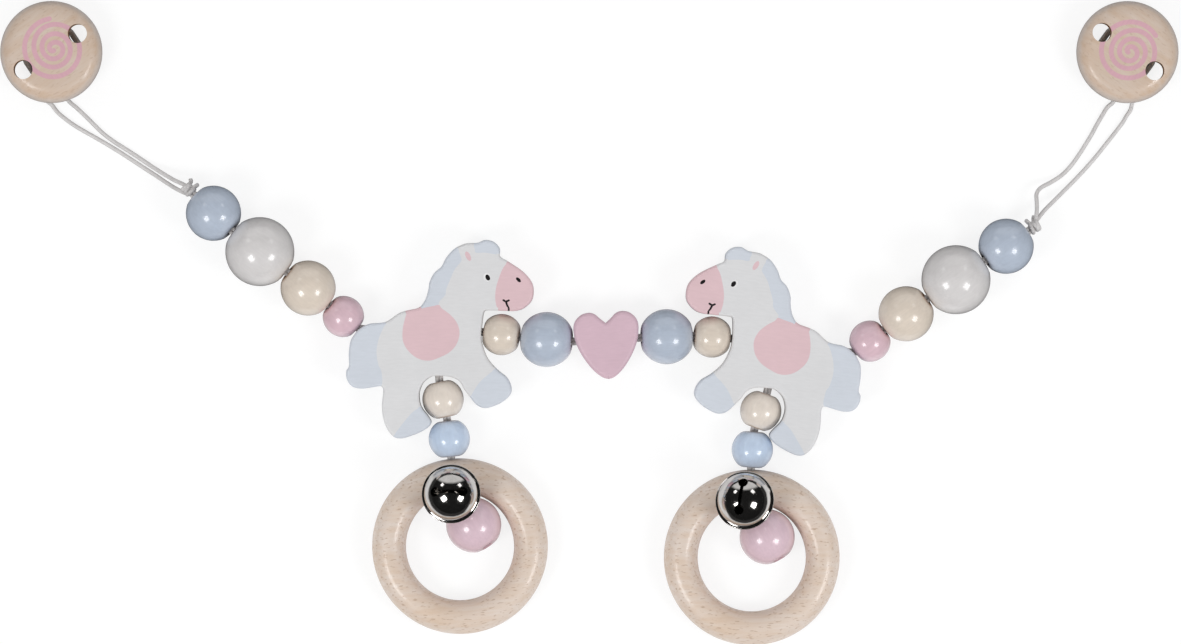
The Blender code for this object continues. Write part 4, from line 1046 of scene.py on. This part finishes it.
def ring(side):
    middle = (RING_DIAMETER - RING_BAR) / 2
    profile = [(middle + RING_BAR / 2 * math.cos(a), RING_BAR / 2 * math.sin(a))
               for a in full_turn(RING_BAR_STEPS)]
    mesh = turned(f"{side}_ring_wood", profile, RING_STEPS, ("beech",))
    inner, outer = RING_DIAMETER / 2 - RING_BAR - OVERRUN, RING_DIAMETER / 2 + OVERRUN
    bore = drill(BORE, inner, outer, Matrix.Rotation(-math.pi / 2, 4, "Y"))
    dress(f"{side}_ring_wood", drilled(mesh, [bore]), ring_frame(side), f"{side}_ring",
          f"{side}_ring")


def bell_frame(side):
    along = axis(f"{side}_bell_swing")
    rise = axis(f"{side}_ball_slide")
    return axes_frame(pivot(f"{side}_bell_swing"), along, rise.cross(along), rise)


def bell_half(name, sign):
    """One half of the shell with its crimped rim, which is rounded at its edge."""
    outer = BELL_DIAMETER / 2
    inner = outer - BELL_WALL
    foot = BELL_RIM_GAP / 2
    top = foot + BELL_RIM_THICKNESS
    turns = spread(math.asin((top + BELL_FILLET_END) / outer), math.pi / 2, BELL_ARC_STEPS)
    shell = [(outer * math.cos(a), outer * math.sin(a)) for a in turns]
    hollow = [(inner * math.cos(a), inner * math.sin(a)) for a in turns]
    shell[-1], hollow[-1] = (0.0, shell[-1][1]), (0.0, hollow[-1][1])
    edge = BELL_RIM / 2
    bevel = edge - BELL_RIM_BEVEL
    start = edge - BELL_RIM_ROUND
    out, up = BELL_FILLET_MIDDLE
    rim = [(inner, foot), (start, foot), (bevel, foot + BELL_RIM_BEVEL),
           (edge, foot + BELL_RIM_ROUND), (edge, top - BELL_RIM_ROUND),
           (bevel, top - BELL_RIM_BEVEL), (start, top), (outer + BELL_FILLET_START, top),
           (outer + out, top + up)]
    profile = rim + shell + hollow[::-1]
    if sign < 0:
        profile = [(radius, -height) for radius, height in profile][::-1]
    mesh = turned(name, profile, BELL_STEPS, ("nickel",), sharp=60.0)
    mesh.transform(Matrix.Translation((0.0, 0.0, BELL_REACH)))
    return mesh


def slot_cutter(turn):
    """The slot and the holes at its ends, as one tall block."""
    half = BELL_SLOT_LENGTH / 2
    hole = BELL_SLOT_HOLE / 2
    meet = math.asin(BELL_SLOT_WIDTH / 2 / hole)
    right = spread(math.pi - meet, meet - math.pi, BELL_SLOT_STEPS)
    loop = [Vector((half + hole * math.cos(a), hole * math.sin(a))) for a in right]
    loop += [Vector((-half - hole * math.cos(a), -hole * math.sin(a))) for a in right]
    loop = loop[::-1]
    low = BELL_REACH + BELL_DIAMETER / 5
    high = BELL_REACH + BELL_DIAMETER
    count = len(loop)
    vertices = [(*point, height) for height in (low, high) for point in loop]
    faces = [(i, (i + 1) % count, count + (i + 1) % count, count + i) for i in range(count)]
    faces += [tuple(range(count))[::-1], tuple(range(count, 2 * count))]
    mesh = new_mesh("slot", vertices, faces, materials=("nickel",))
    mesh.transform(Matrix.Rotation(turn, 4, "Z"))
    return mesh


def tube(name, points, diameter, sides, material, closed=False):
    """A round tube along a line of points, with flat ends unless it closes on itself."""
    vertices, faces = [], []
    count = len(points)
    across = None
    for i, point in enumerate(points):
        before = points[i - 1] if closed or i else point
        after = points[(i + 1) % count] if closed or i + 1 < count else point
        along = (after - before).normalized()
        if across is None:
            start = UP if abs(along.z) < 0.9 else Vector((1.0, 0.0, 0.0))
            across = start.cross(along).normalized()
        across = (across - along * across.dot(along)).normalized()
        lift = along.cross(across)
        vertices += [point + (across * math.cos(turn) + lift * math.sin(turn)) * diameter / 2
                     for turn in full_turn(sides)]
    spans = count if closed else count - 1
    for i in range(spans):
        for k in range(sides):
            j, after = (i + 1) % count, (k + 1) % sides
            faces.append((i * sides + k, i * sides + after, j * sides + after, j * sides + k))
    if not closed:
        faces.append(tuple(range(sides))[::-1])
        faces.append(tuple(range((count - 1) * sides, count * sides)))
    return new_mesh(name, vertices, faces, materials=(material,))


def joined(name, meshes):
    """One mesh of several, with the first one's materials."""
    vertices, faces, slots = [], [], []
    for mesh in meshes:
        start = len(vertices)
        vertices += [vertex.co.copy() for vertex in mesh.vertices]
        faces += [tuple(start + i for i in face.vertices) for face in mesh.polygons]
        slots += [face.material_index for face in mesh.polygons]
    result = new_mesh(name, vertices, faces, slots, ())
    for material in meshes[0].materials:
        result.materials.append(material)
    return result


def bell(side):
    matrix = bell_frame(side)
    body = f"{side}_bell_cup"
    half_width = (BAIL_WIDTH - BAIL_WIRE) / 2
    low = -(STRAND / 2 + BAIL_CLEARANCE + BAIL_WIRE / 2)
    root = BELL_REACH - math.sqrt((BELL_DIAMETER / 2) ** 2 - half_width ** 2) + BELL_WALL
    arc = [Vector((0.0, -half_width * math.cos(a), low + half_width * (1 - math.sin(a))))
           for a in spread(0.0, math.pi, BAIL_STEPS)]
    eye = [Vector((0.0, -half_width, root)), *arc, Vector((0.0, half_width, root))]
    eye_mesh = tube("eye", eye, BAIL_WIRE, BAIL_SIDES, "nickel")
    cup = joined(f"{side}_bell_cup_shell", [bell_half("cup", -1), eye_mesh])
    dress(f"{side}_bell_cup_shell", cup, matrix, body, f"{side}_bell_cup")

    along = axis(f"{side}_bell_swing")
    turn = math.radians(SLOT_TURNS[side]) - math.atan2(along.y, along.x)
    dome = drilled(bell_half("dome", 1), [slot_cutter(turn)])
    item = dress(f"{side}_bell_dome_shell", dome, matrix, body, f"{side}_bell_dome")
    soften(item, BELL_SLOT_EDGE, 2)

    profile = [(BALL_DIAMETER / 2 * math.cos(a), BALL_DIAMETER / 2 * math.sin(a))
               for a in spread(-math.pi / 2, math.pi / 2, BALL_STEPS)]
    profile[0] = (0.0, profile[0][1])
    profile[-1] = (0.0, profile[-1][1])
    ball = turned("ball", profile, ROUND_STEPS, ("ball",))
    place = matrix.copy()
    place.translation = pivot(f"{side}_ball_slide")
    dress(f"{side}_bell_ball_shot", ball, place, f"{side}_bell_ball", f"{side}_bell_ball")


# The end clips

def clip_frame(side):
    """Local X runs from the disc's middle towards the cord, and Z up from the table."""
    across = -axis(f"{side}_plate_hinge")
    along = across.cross(UP)
    origin = pivot(f"{side}_plate_hinge") - along * HINGE_PLACE - UP * WIRE_HEIGHT
    return axes_frame(origin, along, across, UP)


def spiral_loop(side, matrix):
    """The painted line's edge on the disc's face, in the clip's frame."""
    offset, start = SPIRALS[side]
    radii = [Vector((radius * MM, 0.0)) for radius in SPIRAL_RADII]
    steps = spline(radii, SPIRAL_QUARTER_STEPS)
    back = matrix.to_3x3().inverted()
    points = []
    for k, radius in enumerate(steps):
        turn = math.radians(start) + math.pi / 2 * k / SPIRAL_QUARTER_STEPS
        seen = Vector((offset[0] * MM + radius.x * math.cos(turn),
                       offset[1] * MM + radius.x * math.sin(turn), 0.0))
        points.append((back @ seen).to_2d())
    return stroke(points, SPIRAL_STROKE)


def face_drop(radius):
    """How far the disc's face has fallen at a distance from its middle."""
    past = max(0.0, radius - DISC_DIAMETER / 2 + DISC_FACE_ROUND)
    return DISC_FACE_ROUND - math.sqrt(DISC_FACE_ROUND ** 2 - past ** 2)


def disc(side, matrix):
    """The face's paint is laid out flat, within rings that take its corners down to the dome."""
    radius = DISC_DIAMETER / 2
    profile = edge_profile(DISC_THICKNESS, 0.0, DISC_FACE_ROUND, DISC_BACK_ROUND, DISC_SIDE_STEPS)
    side_reach = DISC_FACE_ROUND * DISC_SIDE_SHARE
    profile = [(reach, height) for reach, height in profile[1:] if reach < side_reach]
    flat = DISC_THICKNESS - face_drop(radius - profile[0][0])
    profile[0] = (profile[0][0], flat)
    first = radius - DISC_FACE_ROUND
    step = (DISC_FACE_ROUND - profile[0][0]) / (DISC_FACE_RINGS + 1)
    rings = [(circle(first + step * k, DISC_STEPS), True) for k in range(DISC_FACE_RINGS + 1)]
    spiral = spiral_loop(side, matrix)
    mesh = board(f"{side}_clip_disc_wood", [circle(radius, DISC_STEPS)], profile, ("disc", "spiral"),
                 top=[(spiral, 1)], lines=[(spiral, True), *rings])
    for vertex in mesh.vertices:
        if abs(vertex.co.z - flat) < MM / 1000:
            vertex.co.z = DISC_THICKNESS - face_drop(vertex.co.to_2d().length)
    vents = [drill(VENT_DIAMETER, -OVERRUN, DISC_THICKNESS + OVERRUN,
                   Matrix.Translation((0.0, sign * VENT_OFFSET, 0.0))) for sign in (-1.0, 1.0)]
    mesh = drilled(mesh, vents)
    place = matrix @ Matrix.Translation((0.0, 0.0, DISC_BOTTOM))
    item = dress(f"{side}_clip_disc_wood", mesh, place, f"{side}_clip_plate", f"{side}_clip_disc")
    soften(item, VENT_ROUND, 3)


def rounded_rectangle(low, high, radii, steps):
    """The points of a rectangle's edge, anticlockwise. Its low X end has the first radius."""
    points = []
    corners = ((True, True), (False, True), (False, False), (True, False))
    for quarter, (right, top) in enumerate(corners):
        radius = radii[right]
        centre = Vector((high[0] - radius if right else low[0] + radius,
                         high[1] - radius if top else low[1] + radius))
        for angle in spread(math.pi / 2 * quarter, math.pi / 2 * (quarter + 1), steps):
            points.append(centre + Vector((math.cos(angle), math.sin(angle))) * radius)
    return points


def sheet(name, loops, top, bottom):
    """A flat of sheet metal, or a strip of it on edge, with its sharp edges just broken."""
    profile = edge_profile(top, bottom, SHEET_EDGE, SHEET_EDGE, SHEET_EDGE_STEPS, SHEET_LIP)
    return board(name, loops, profile, ("steel",))


def plate(side, hinge):
    """The plate behind the disc, with an ear at each side for the wire and a rivet into the disc."""
    bottom = PLATE_BOTTOM - WIRE_HEIGHT
    reach = PLATE_WIDTH / 2
    edge = rounded_rectangle((PLATE_NOSE - HINGE_PLACE, -reach), (PLATE_TAIL - HINGE_PLACE, reach),
                             (PLATE_CORNER, PLATE_CORNER), PLATE_CORNER_STEPS)
    meshes = [sheet("sheet", [edge], bottom + SHEET, bottom)]
    low, high = -EAR_LENGTH / 2, bottom + SHEET / 2
    corner = EAR_LENGTH * EAR_CORNER_SHARE
    outline = [Vector((high, low)), Vector((high, -low))]
    outline += [Vector((low + corner - corner * math.cos(a), -low - corner + corner * math.sin(a)))
                for a in spread(math.pi / 2, 0.0, EAR_CORNER_STEPS)]
    outline += [Vector((low + corner - corner * math.cos(a), low + corner - corner * math.sin(a)))
                for a in spread(0.0, math.pi / 2, EAR_CORNER_STEPS)]
    hole = circle(KNUCKLE_HOLE, KNUCKLE_STEPS, sign=-1.0)
    for sign in (-1.0, 1.0):
        middle = sign * (reach - SHEET / 2)
        ear = sheet("ear", [outline, hole], SHEET / 2, -SHEET / 2)
        ear.transform(axes_frame(Vector((0.0, middle, 0.0)), UP, Vector((1.0, 0.0, 0.0)),
                                 Vector((0.0, 1.0, 0.0))))
        meshes.append(ear)
    foot, top = bottom + SHEET / 2, bottom + SHEET + RIVET_LENGTH
    radius = RIVET_DIAMETER / 2
    profile = [(0.0, foot), (radius, foot), (radius, top - RIVET_EDGE), (radius - RIVET_EDGE, top),
               (0.0, top)]
    rivet = turned("rivet", profile, ROUND_STEPS, ("steel",))
    rivet.transform(Matrix.Translation((-HINGE_PLACE, 0.0, 0.0)))
    node = f"{side}_clip_plate"
    dress(f"{node}_sheet", joined(f"{node}_sheet", [*meshes, rivet]), hinge, node, node)


def wire(side, matrix):
    """The wire frame that the cord holds, and on which the plate and the lever turn."""
    reach = WIRE_WIDTH / 2
    edge = rounded_rectangle((HINGE_PLACE, -reach), (CORD_BAR_PLACE, reach),
                             (WIRE_CORNER, BAR_CORNER), WIRE_CORNER_STEPS)
    rod = tube("wire", [Vector((*point, WIRE_HEIGHT)) for point in edge], WIRE_DIAMETER, WIRE_SIDES,
               "steel", closed=True)
    dress(f"{side}_clip_wire_rod", rod, matrix, f"{side}_clip_wire", f"{side}_clip_wire")


def lever(side, hinge):
    """The lever under the plate, with its knuckle curled round the wire."""
    outer = KNUCKLE_HOLE + KNUCKLE_WALL
    tip = LEVER_TIP - HINGE_PLACE
    start = math.asin(max(-1.0, (SHEET - WIRE_HEIGHT) / outer))
    stop = 3 * math.pi / 2 - math.radians(LEVER_CURL)
    curl = [Vector((outer * math.cos(a), outer * math.sin(a)))
            for a in spread(start, stop, LEVER_CURL_STEPS)]
    floor = -WIRE_HEIGHT
    line = [Vector((tip - SHEET / 2, floor)), Vector((tip, floor + SHEET / 2)),
            Vector((tip - SHEET / 2, floor + SHEET)), Vector((outer, floor + SHEET)), *curl,
            Vector((-outer / 2, floor))]
    hole = circle(KNUCKLE_HOLE, KNUCKLE_STEPS, sign=-1.0)
    mesh = sheet("lever", [line, hole], LEVER_WIDTH / 2, -LEVER_WIDTH / 2)
    mesh.transform(Matrix.Rotation(math.pi / 2, 4, "X"))
    node = f"{side}_clip_lever"
    dress(f"{node}_sheet", mesh, hinge, node, node)


def clip(side):
    matrix = clip_frame(side)
    hinge = matrix @ Matrix.Translation((HINGE_PLACE, 0.0, WIRE_HEIGHT))
    disc(side, matrix)
    wire(side, matrix)
    lever(side, hinge)
    plate(side, hinge)


# The doubled cord, in a length for each joint that it bends at

def strands(name, points):
    """Two round strands side by side along the points, level with each other."""
    meshes = []
    for sign in (-1.0, 1.0):
        line = []
        for i, point in enumerate(points):
            along = points[min(i + 1, len(points) - 1)] - points[max(i - 1, 0)]
            line.append(point + UP.cross(along).normalized() * sign * STRAND_PITCH / 2)
        mesh = tube(name, line, STRAND, STRAND_SIDES, "cord")
        marks = mesh.uv_layers.new(name="lay")
        for face in mesh.polygons:
            low = min(index % STRAND_SIDES for index in face.vertices)
            wraps = max(index % STRAND_SIDES for index in face.vertices) - low > 1
            for loop in face.loop_indices:
                index = mesh.loops[loop].vertex_index
                row, side_number = divmod(index, STRAND_SIDES)
                if wraps and side_number == 0:
                    side_number = STRAND_SIDES
                marks.data[loop].uv = (row * CORD_SPACING, side_number / STRAND_SIDES)
        meshes.append(mesh)
    result = joined(name, meshes)
    marks = result.uv_layers.new(name="lay")
    values = [loop.uv.copy() for mesh in meshes for loop in mesh.uv_layers[0].data]
    for loop, value in zip(marks.data, values):
        loop.uv = value
    return result


def bent_cord(name, points, nodes):
    """A length of doubled cord from one body to the next that bends at their joint."""
    mesh = strands(name, points)
    item = add(name, mesh)
    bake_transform(item)
    if nodes:
        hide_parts(*nodes)


def bent_path(start, at, end):
    """A line from start to end whose corner is rounded off."""
    before, after = (at - start), (end - at)
    reach = min(BEND_REACH, before.length / 2, after.length / 2)
    first = at - before.normalized() * reach
    last = at + after.normalized() * reach
    curve = [first + (at - first) * 2 * t * (1 - t) + (last - first) * t * t
             for t in spread(0.0, 1.0, BEND_STEPS)]
    return even_path([start, *curve, end], CORD_SPACING)


MAIN_KEYS = ("blue_inner", "cream_small", "horse", "pink", "cream", "white", "blue_outer")


def main_cords(side):
    """The cords between the heart and the knot, each from the middle of one length to the next."""
    pivots = [pivot(f"{side}_{key}_bend") for key in MAIN_KEYS] + [pivot(f"{side}_end_bend")]
    bodies = ["heart_cord", *(f"{side}_{key}_cord" for key in MAIN_KEYS), f"{side}_end_cord"]
    last = (pivots[-1] - pivots[-2]).normalized()
    middles = [pivot("heart_spin"), *((a + b) / 2 for a, b in zip(pivots, pivots[1:])),
               pivots[-1] + last * KNOT_LENGTH / 2]
    for index, at in enumerate(pivots):
        points = bent_path(middles[index], at, middles[index + 1])
        nodes = [bodies[index + 1]] if index < len(MAIN_KEYS) else []
        if index == 0 and side == "left":
            nodes.append("heart_cord")
        bent_cord(f"{side}_cord_{index + 1}", points, nodes)


def pendant_cords(side, horse_matrix):
    """The cords from a horse's belly to the ring, and through its bar, the bell and the pink bead."""
    swing = pivot(f"{side}_pendant_swing")
    middle = pivot(f"{side}_pendant_bend")
    bottom = pivot(f"{side}_ring_bend")
    up = horse_matrix.to_3x3() @ Vector((0.0, 1.0, 0.0))
    drop = axis(f"{side}_ring_twist")
    first = swing + up * BELLY_CORD_DEPTH
    names = [f"{side}_{name}" for name in ("horse", "pendant_cord_upper", "pendant_cord_lower",
                                           "ring_cord")]
    high, low = (swing + middle) / 2, (middle + bottom) / 2
    bent_cord(f"{side}_pendant_cord_1", bent_path(first, swing, high),
              names[1:2])
    bent_cord(f"{side}_pendant_cord_2", bent_path(high, middle, low),
              names[2:3])

    mouth = bottom + drop * (BEAD_GAP / 2 + RING_BAR)
    eye = pivot(f"{side}_bell_swing")
    pink = pivot(f"{side}_pendant_pink_spin")
    bore = axis(f"{side}_pendant_pink_spin")
    half = math.sqrt((BEAD / 2) ** 2 - BEAD_END_RADIUS ** 2)
    near = pink - bore * half
    ahead = bent_path(low, bottom, bottom + drop * RING_BAR / 2)
    rest = spline([ahead[-1], mouth, eye, near, pink, pink + bore * (half - STRAND)], ROUTE_STEPS)
    points = even_path(ahead[:-1] + rest, CORD_SPACING)
    bent_cord(f"{side}_pendant_cord_3", points, names[3:])


# The end cords and their knots

def from_picture(pixel, height):
    """A pixel's place at a height over the table, counted from the picture's middle."""
    return Vector(((pixel[0] - PICTURE_MIDDLE[0]) * PIXEL,
                   (PICTURE_MIDDLE[1] - pixel[1]) * PIXEL, height))


# How far the model's heart lies from its place in the picture
HEART_SHIFT = pivot("heart_spin") - from_picture(HEART_PIXEL, pivot("heart_spin").z)


def end_cord(side):
    """The free loop from the knot round the clip's wire and back to the knot."""
    at = pivot(f"{side}_end_bend")
    last = (at - pivot(f"{side}_blue_outer_bend")).normalized()
    matrix = bore_frame(at, last)
    knot = at + last * (CORD_CLEARANCE + KNOT_LENGTH / 2)
    out, back = ([HEART_SHIFT + from_picture(point, point[2] * MM) for point in route]
                 for route in END_CORD_ROUTES[side])
    clip_matrix = clip_frame(side)
    turn = [clip_matrix @ (Vector(point) * MM) for point in CLIP_CORD_ROUTES[side]]
    route = [knot, *out, *turn, *back, knot + UP * STRAND / 4]
    points = even_path(spline(route, ROUTE_STEPS), CORD_SPACING)
    length = sum((b - a).length for a, b in zip(points, points[1:]))
    curve = bpy.data.curves.new(f"{side}_end_cord_loop", "CURVE")
    curve.dimensions = "3D"
    curve.bevel_depth = STRAND / 2
    curve.bevel_resolution = 5
    curve.use_fill_caps = True
    line = curve.splines.new("POLY")
    line.points.add(len(points) - 1)
    for point, place in zip(line.points, points):
        point.co = (*place, 1.0)
    line.use_smooth = True
    curve.materials.append(cord_paint(f"{side}_end_cord_paint", length * TWISTS_PER_METRE))
    item = add(f"{side}_end_cord_loop", curve)
    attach(item, f"{side}_end_cord")
    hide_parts(f"{side}_end_cord")
    piece = dress(f"{side}_end_knot", knot_mesh(side), matrix, f"{side}_end_cord", None)


def knot_mesh(side):
    """A tight overhand knot of the doubled cord with two cut ends standing out of it."""
    middle = CORD_CLEARANCE + KNOT_LENGTH / 2
    sign = SIDE_SIGNS[side]
    wraps = []
    for offset, lean in KNOT_TURNS:
        points = [Vector((KNOT_RADIUS * math.cos(a), KNOT_RADIUS * math.sin(a),
                          offset + lean * math.cos(a + KNOT_LEAN_ANGLE))) * MM
                  for a in full_turn(KNOT_STEPS)]
        wraps.append(tube("wrap", points, STRAND, STRAND_SIDES, "cord", closed=True))
    for start, *rest in KNOT_ENDS:
        marks = [start, *((x * sign, y, z) for x, y, z in rest)]
        ends = spline([Vector(mark) * MM for mark in marks], KNOT_END_STEPS)
        wraps.append(tube("end", ends, STRAND, STRAND_SIDES, "cord"))
    mesh = joined(f"{side}_end_knot", wraps)
    mesh.transform(Matrix.Translation((0.0, 0.0, middle)))
    marks = mesh.uv_layers.new(name="lay")
    for loop in mesh.loops:
        point = mesh.vertices[loop.vertex_index].co
        turn = math.atan2(point.y, point.x)
        marks.data[loop.index].uv = (turn * KNOT_LAY_RADIUS, point.z / KNOT_LAY_RADIUS)
    return mesh


# Everything in its place

# Each bead's diameter and colour, from the heart outwards and then down the pendant
BEADS = {
    "blue_inner": (BEAD, "blue"),
    "cream_small": (SMALL_BEAD, "cream"),
    "pink": (SMALL_BEAD, "pink"),
    "cream": (BEAD, "cream"),
    "white": (LARGE_BEAD, "white"),
    "blue_outer": (BEAD, "blue"),
    "pendant_cream": (SMALL_BEAD, "cream"),
    "pendant_blue": (SMALL_BEAD, "blue"),
    "pendant_pink": (BEAD, "pink"),
}

heart()
horse_matrices = {side: horse(side) for side in SIDE_SIGNS}
for side in SIDE_SIGNS:
    for key, (diameter, colour) in BEADS.items():
        # The pendant beads take their own paler lacquers, which carry painted light.
        paint = f"{key}_bead" if key.startswith("pendant") else f"{colour}_bead"
        bead(f"{side}_{key}_bead", f"{side}_{key}_spin", diameter, paint)
    ring(side)
    bell(side)
    clip(side)
    main_cords(side)
    pendant_cords(side, horse_matrices[side])
    end_cord(side)


# Floor, light and camera

WHITE = grey(1.0)
FLOOR_REACH = 4.0
FLOOR_GREYS = (0.93, 0.91)
# What the camera sees of the floor: its own grey, which takes the shadow, and the light added to it
SEEN_FLOOR_GREY = 0.22
SEEN_FLOOR_GLOW = 0.81
# Mirrors see the floor darken between these distances from a bell
PALE_FLOOR = (70 * MM, 100 * MM)
DARK_FLOOR_GREY = 0.04
ROOM_LIGHT = (0.49, 0.49, 0.493, 1.0)
# The room's greys in mirrors, at places along the picture's upward direction
MIRRORED_ROOM = ((0.70, 0.012), (0.80, 0.75))
LAMP_DISTANCE = 1.4
# Each lamp's direction from the toy, its width in metres and its power in watts
LAMPS = {
    "left": ((-0.51, -0.35, 0.79), 0.44, 5.5),
    "right": ((0.61, -0.32, 0.72), 0.44, 5.5),
    "far_left": ((-0.60, 0.56, 0.57), 0.3, 0.5),
    "far_right": ((0.54, 0.56, 0.62), 0.3, 0.5),
}


def lit_floor():
    """A pale table top that the camera sees as white, apart from the toy's soft shadow.

    Mirrors see it pale near each bell and dark further off.
    """
    paint = Paint("table_top", 0.9, specular=0.1, own=False)
    mottle = paint.noise(paint.place(1.0, 1.0, 1.0), 14.0, 3.0)
    paint.finish(paint.mix(mottle, *map(grey, FLOOR_GREYS)))
    seen = paint.node("ShaderNodeBsdfDiffuse", {"Color": grey(SEEN_FLOOR_GREY)})
    glow = paint.node("ShaderNodeEmission", {"Color": WHITE, "Strength": SEEN_FLOOR_GLOW})
    both = paint.node("ShaderNodeAddShader", {0: seen.outputs[0], 1: glow.outputs[0]})
    path = paint.node("ShaderNodeLightPath", {})
    places = paint.place(1.0, 1.0, 0.0)
    away = [paint.node("ShaderNodeVectorMath", {0: places, 1: (*pivot(f"{side}_bell_swing").xy, 0.0)},
                       operation="DISTANCE").outputs[1] for side in SIDE_SIGNS]
    far = paint.span(paint.math("MINIMUM", *away), *PALE_FLOOR)
    far = paint.math("MULTIPLY", far, path.outputs["Is Glossy Ray"])
    dark = paint.node("ShaderNodeBsdfDiffuse", {"Color": grey(DARK_FLOOR_GREY)})
    mirrored = paint.node("ShaderNodeMixShader", {0: far, 1: paint.shader.outputs[0],
                                                  2: dark.outputs[0]})
    face = paint.node("ShaderNodeMixShader", {0: path.outputs["Is Camera Ray"],
                                              1: mirrored.outputs[0], 2: both.outputs[0]})
    output = next(node for node in paint.tree.nodes if node.type == "OUTPUT_MATERIAL")
    paint.tree.links.new(face.outputs[0], output.inputs["Surface"])
    mesh = bpy.data.meshes.new("table_top")
    corners = [(x * FLOOR_REACH, y * FLOOR_REACH, 0.0) for x, y in ((-1, -1), (1, -1), (1, 1), (-1, 1))]
    mesh.from_pydata(corners, [], [(0, 1, 2, 3)])
    mesh.materials.append(paint.material)
    item = add("table_top", mesh)


def world_light():
    """Even pale light all round; mirrors see a dark room with a pale end beyond the toy's top."""
    world = bpy.data.worlds.new("room")
    bpy.context.scene.world = world
    world.use_nodes = True
    tree = world.node_tree
    tree.nodes.clear()
    direction = add_node(tree, "ShaderNodeTexCoord", {}).outputs["Generated"]
    parts = add_node(tree, "ShaderNodeSeparateXYZ", {0: direction}).outputs
    ramp = add_node(tree, "ShaderNodeValToRGB", {0: parts[1]})
    for element, (place, value) in zip(ramp.color_ramp.elements, MIRRORED_ROOM):
        element.position = place
        element.color = grey(value)
    path = add_node(tree, "ShaderNodeLightPath", {}).outputs
    lit = add_node(tree, "ShaderNodeMix", {0: path["Is Glossy Ray"], 6: ROOM_LIGHT,
                                           7: ramp.outputs[0]}, data_type="RGBA")
    seen = add_node(tree, "ShaderNodeMix", {0: path["Is Camera Ray"], 6: lit.outputs[2], 7: WHITE},
                    data_type="RGBA")
    background = add_node(tree, "ShaderNodeBackground", {"Color": seen.outputs[2]})
    add_node(tree, "ShaderNodeOutputWorld", {0: background.outputs[0]})


def soft_box(name, direction, size, power):
    way = Vector(direction).normalized()
    light = bpy.data.lights.new(name, "AREA")
    light.shape = "SQUARE"
    light.size = size
    light.energy = power
    item = add(name, light)
    item.location = way * LAMP_DISTANCE
    item.rotation_euler = way.to_track_quat("Z", "Y").to_euler()


def add_camera():
    """Straight down on the table, at the scale and place that the picture has."""
    camera = bpy.data.cameras.new("camera")
    camera.sensor_width = SENSOR_WIDTH
    camera.lens = SENSOR_WIDTH * (CAMERA_HEIGHT - SCALE_HEIGHT) / (PICTURE_WIDTH * PIXEL)
    item = add("camera", camera)
    heart_place = pivot("heart_spin")
    scale = PIXEL * (CAMERA_HEIGHT - heart_place.z) / (CAMERA_HEIGHT - SCALE_HEIGHT)
    x = heart_place.x - (HEART_PIXEL[0] - PICTURE_MIDDLE[0]) * scale
    y = heart_place.y + (HEART_PIXEL[1] - PICTURE_MIDDLE[1]) * scale
    item.location = (x, y, CAMERA_HEIGHT)
    bpy.context.scene.camera = item


lit_floor()
world_light()
for place, lamp in LAMPS.items():
    soft_box(f"soft_box_{place}", *lamp)
add_camera()
bpy.context.scene.view_settings.view_transform = "Standard"
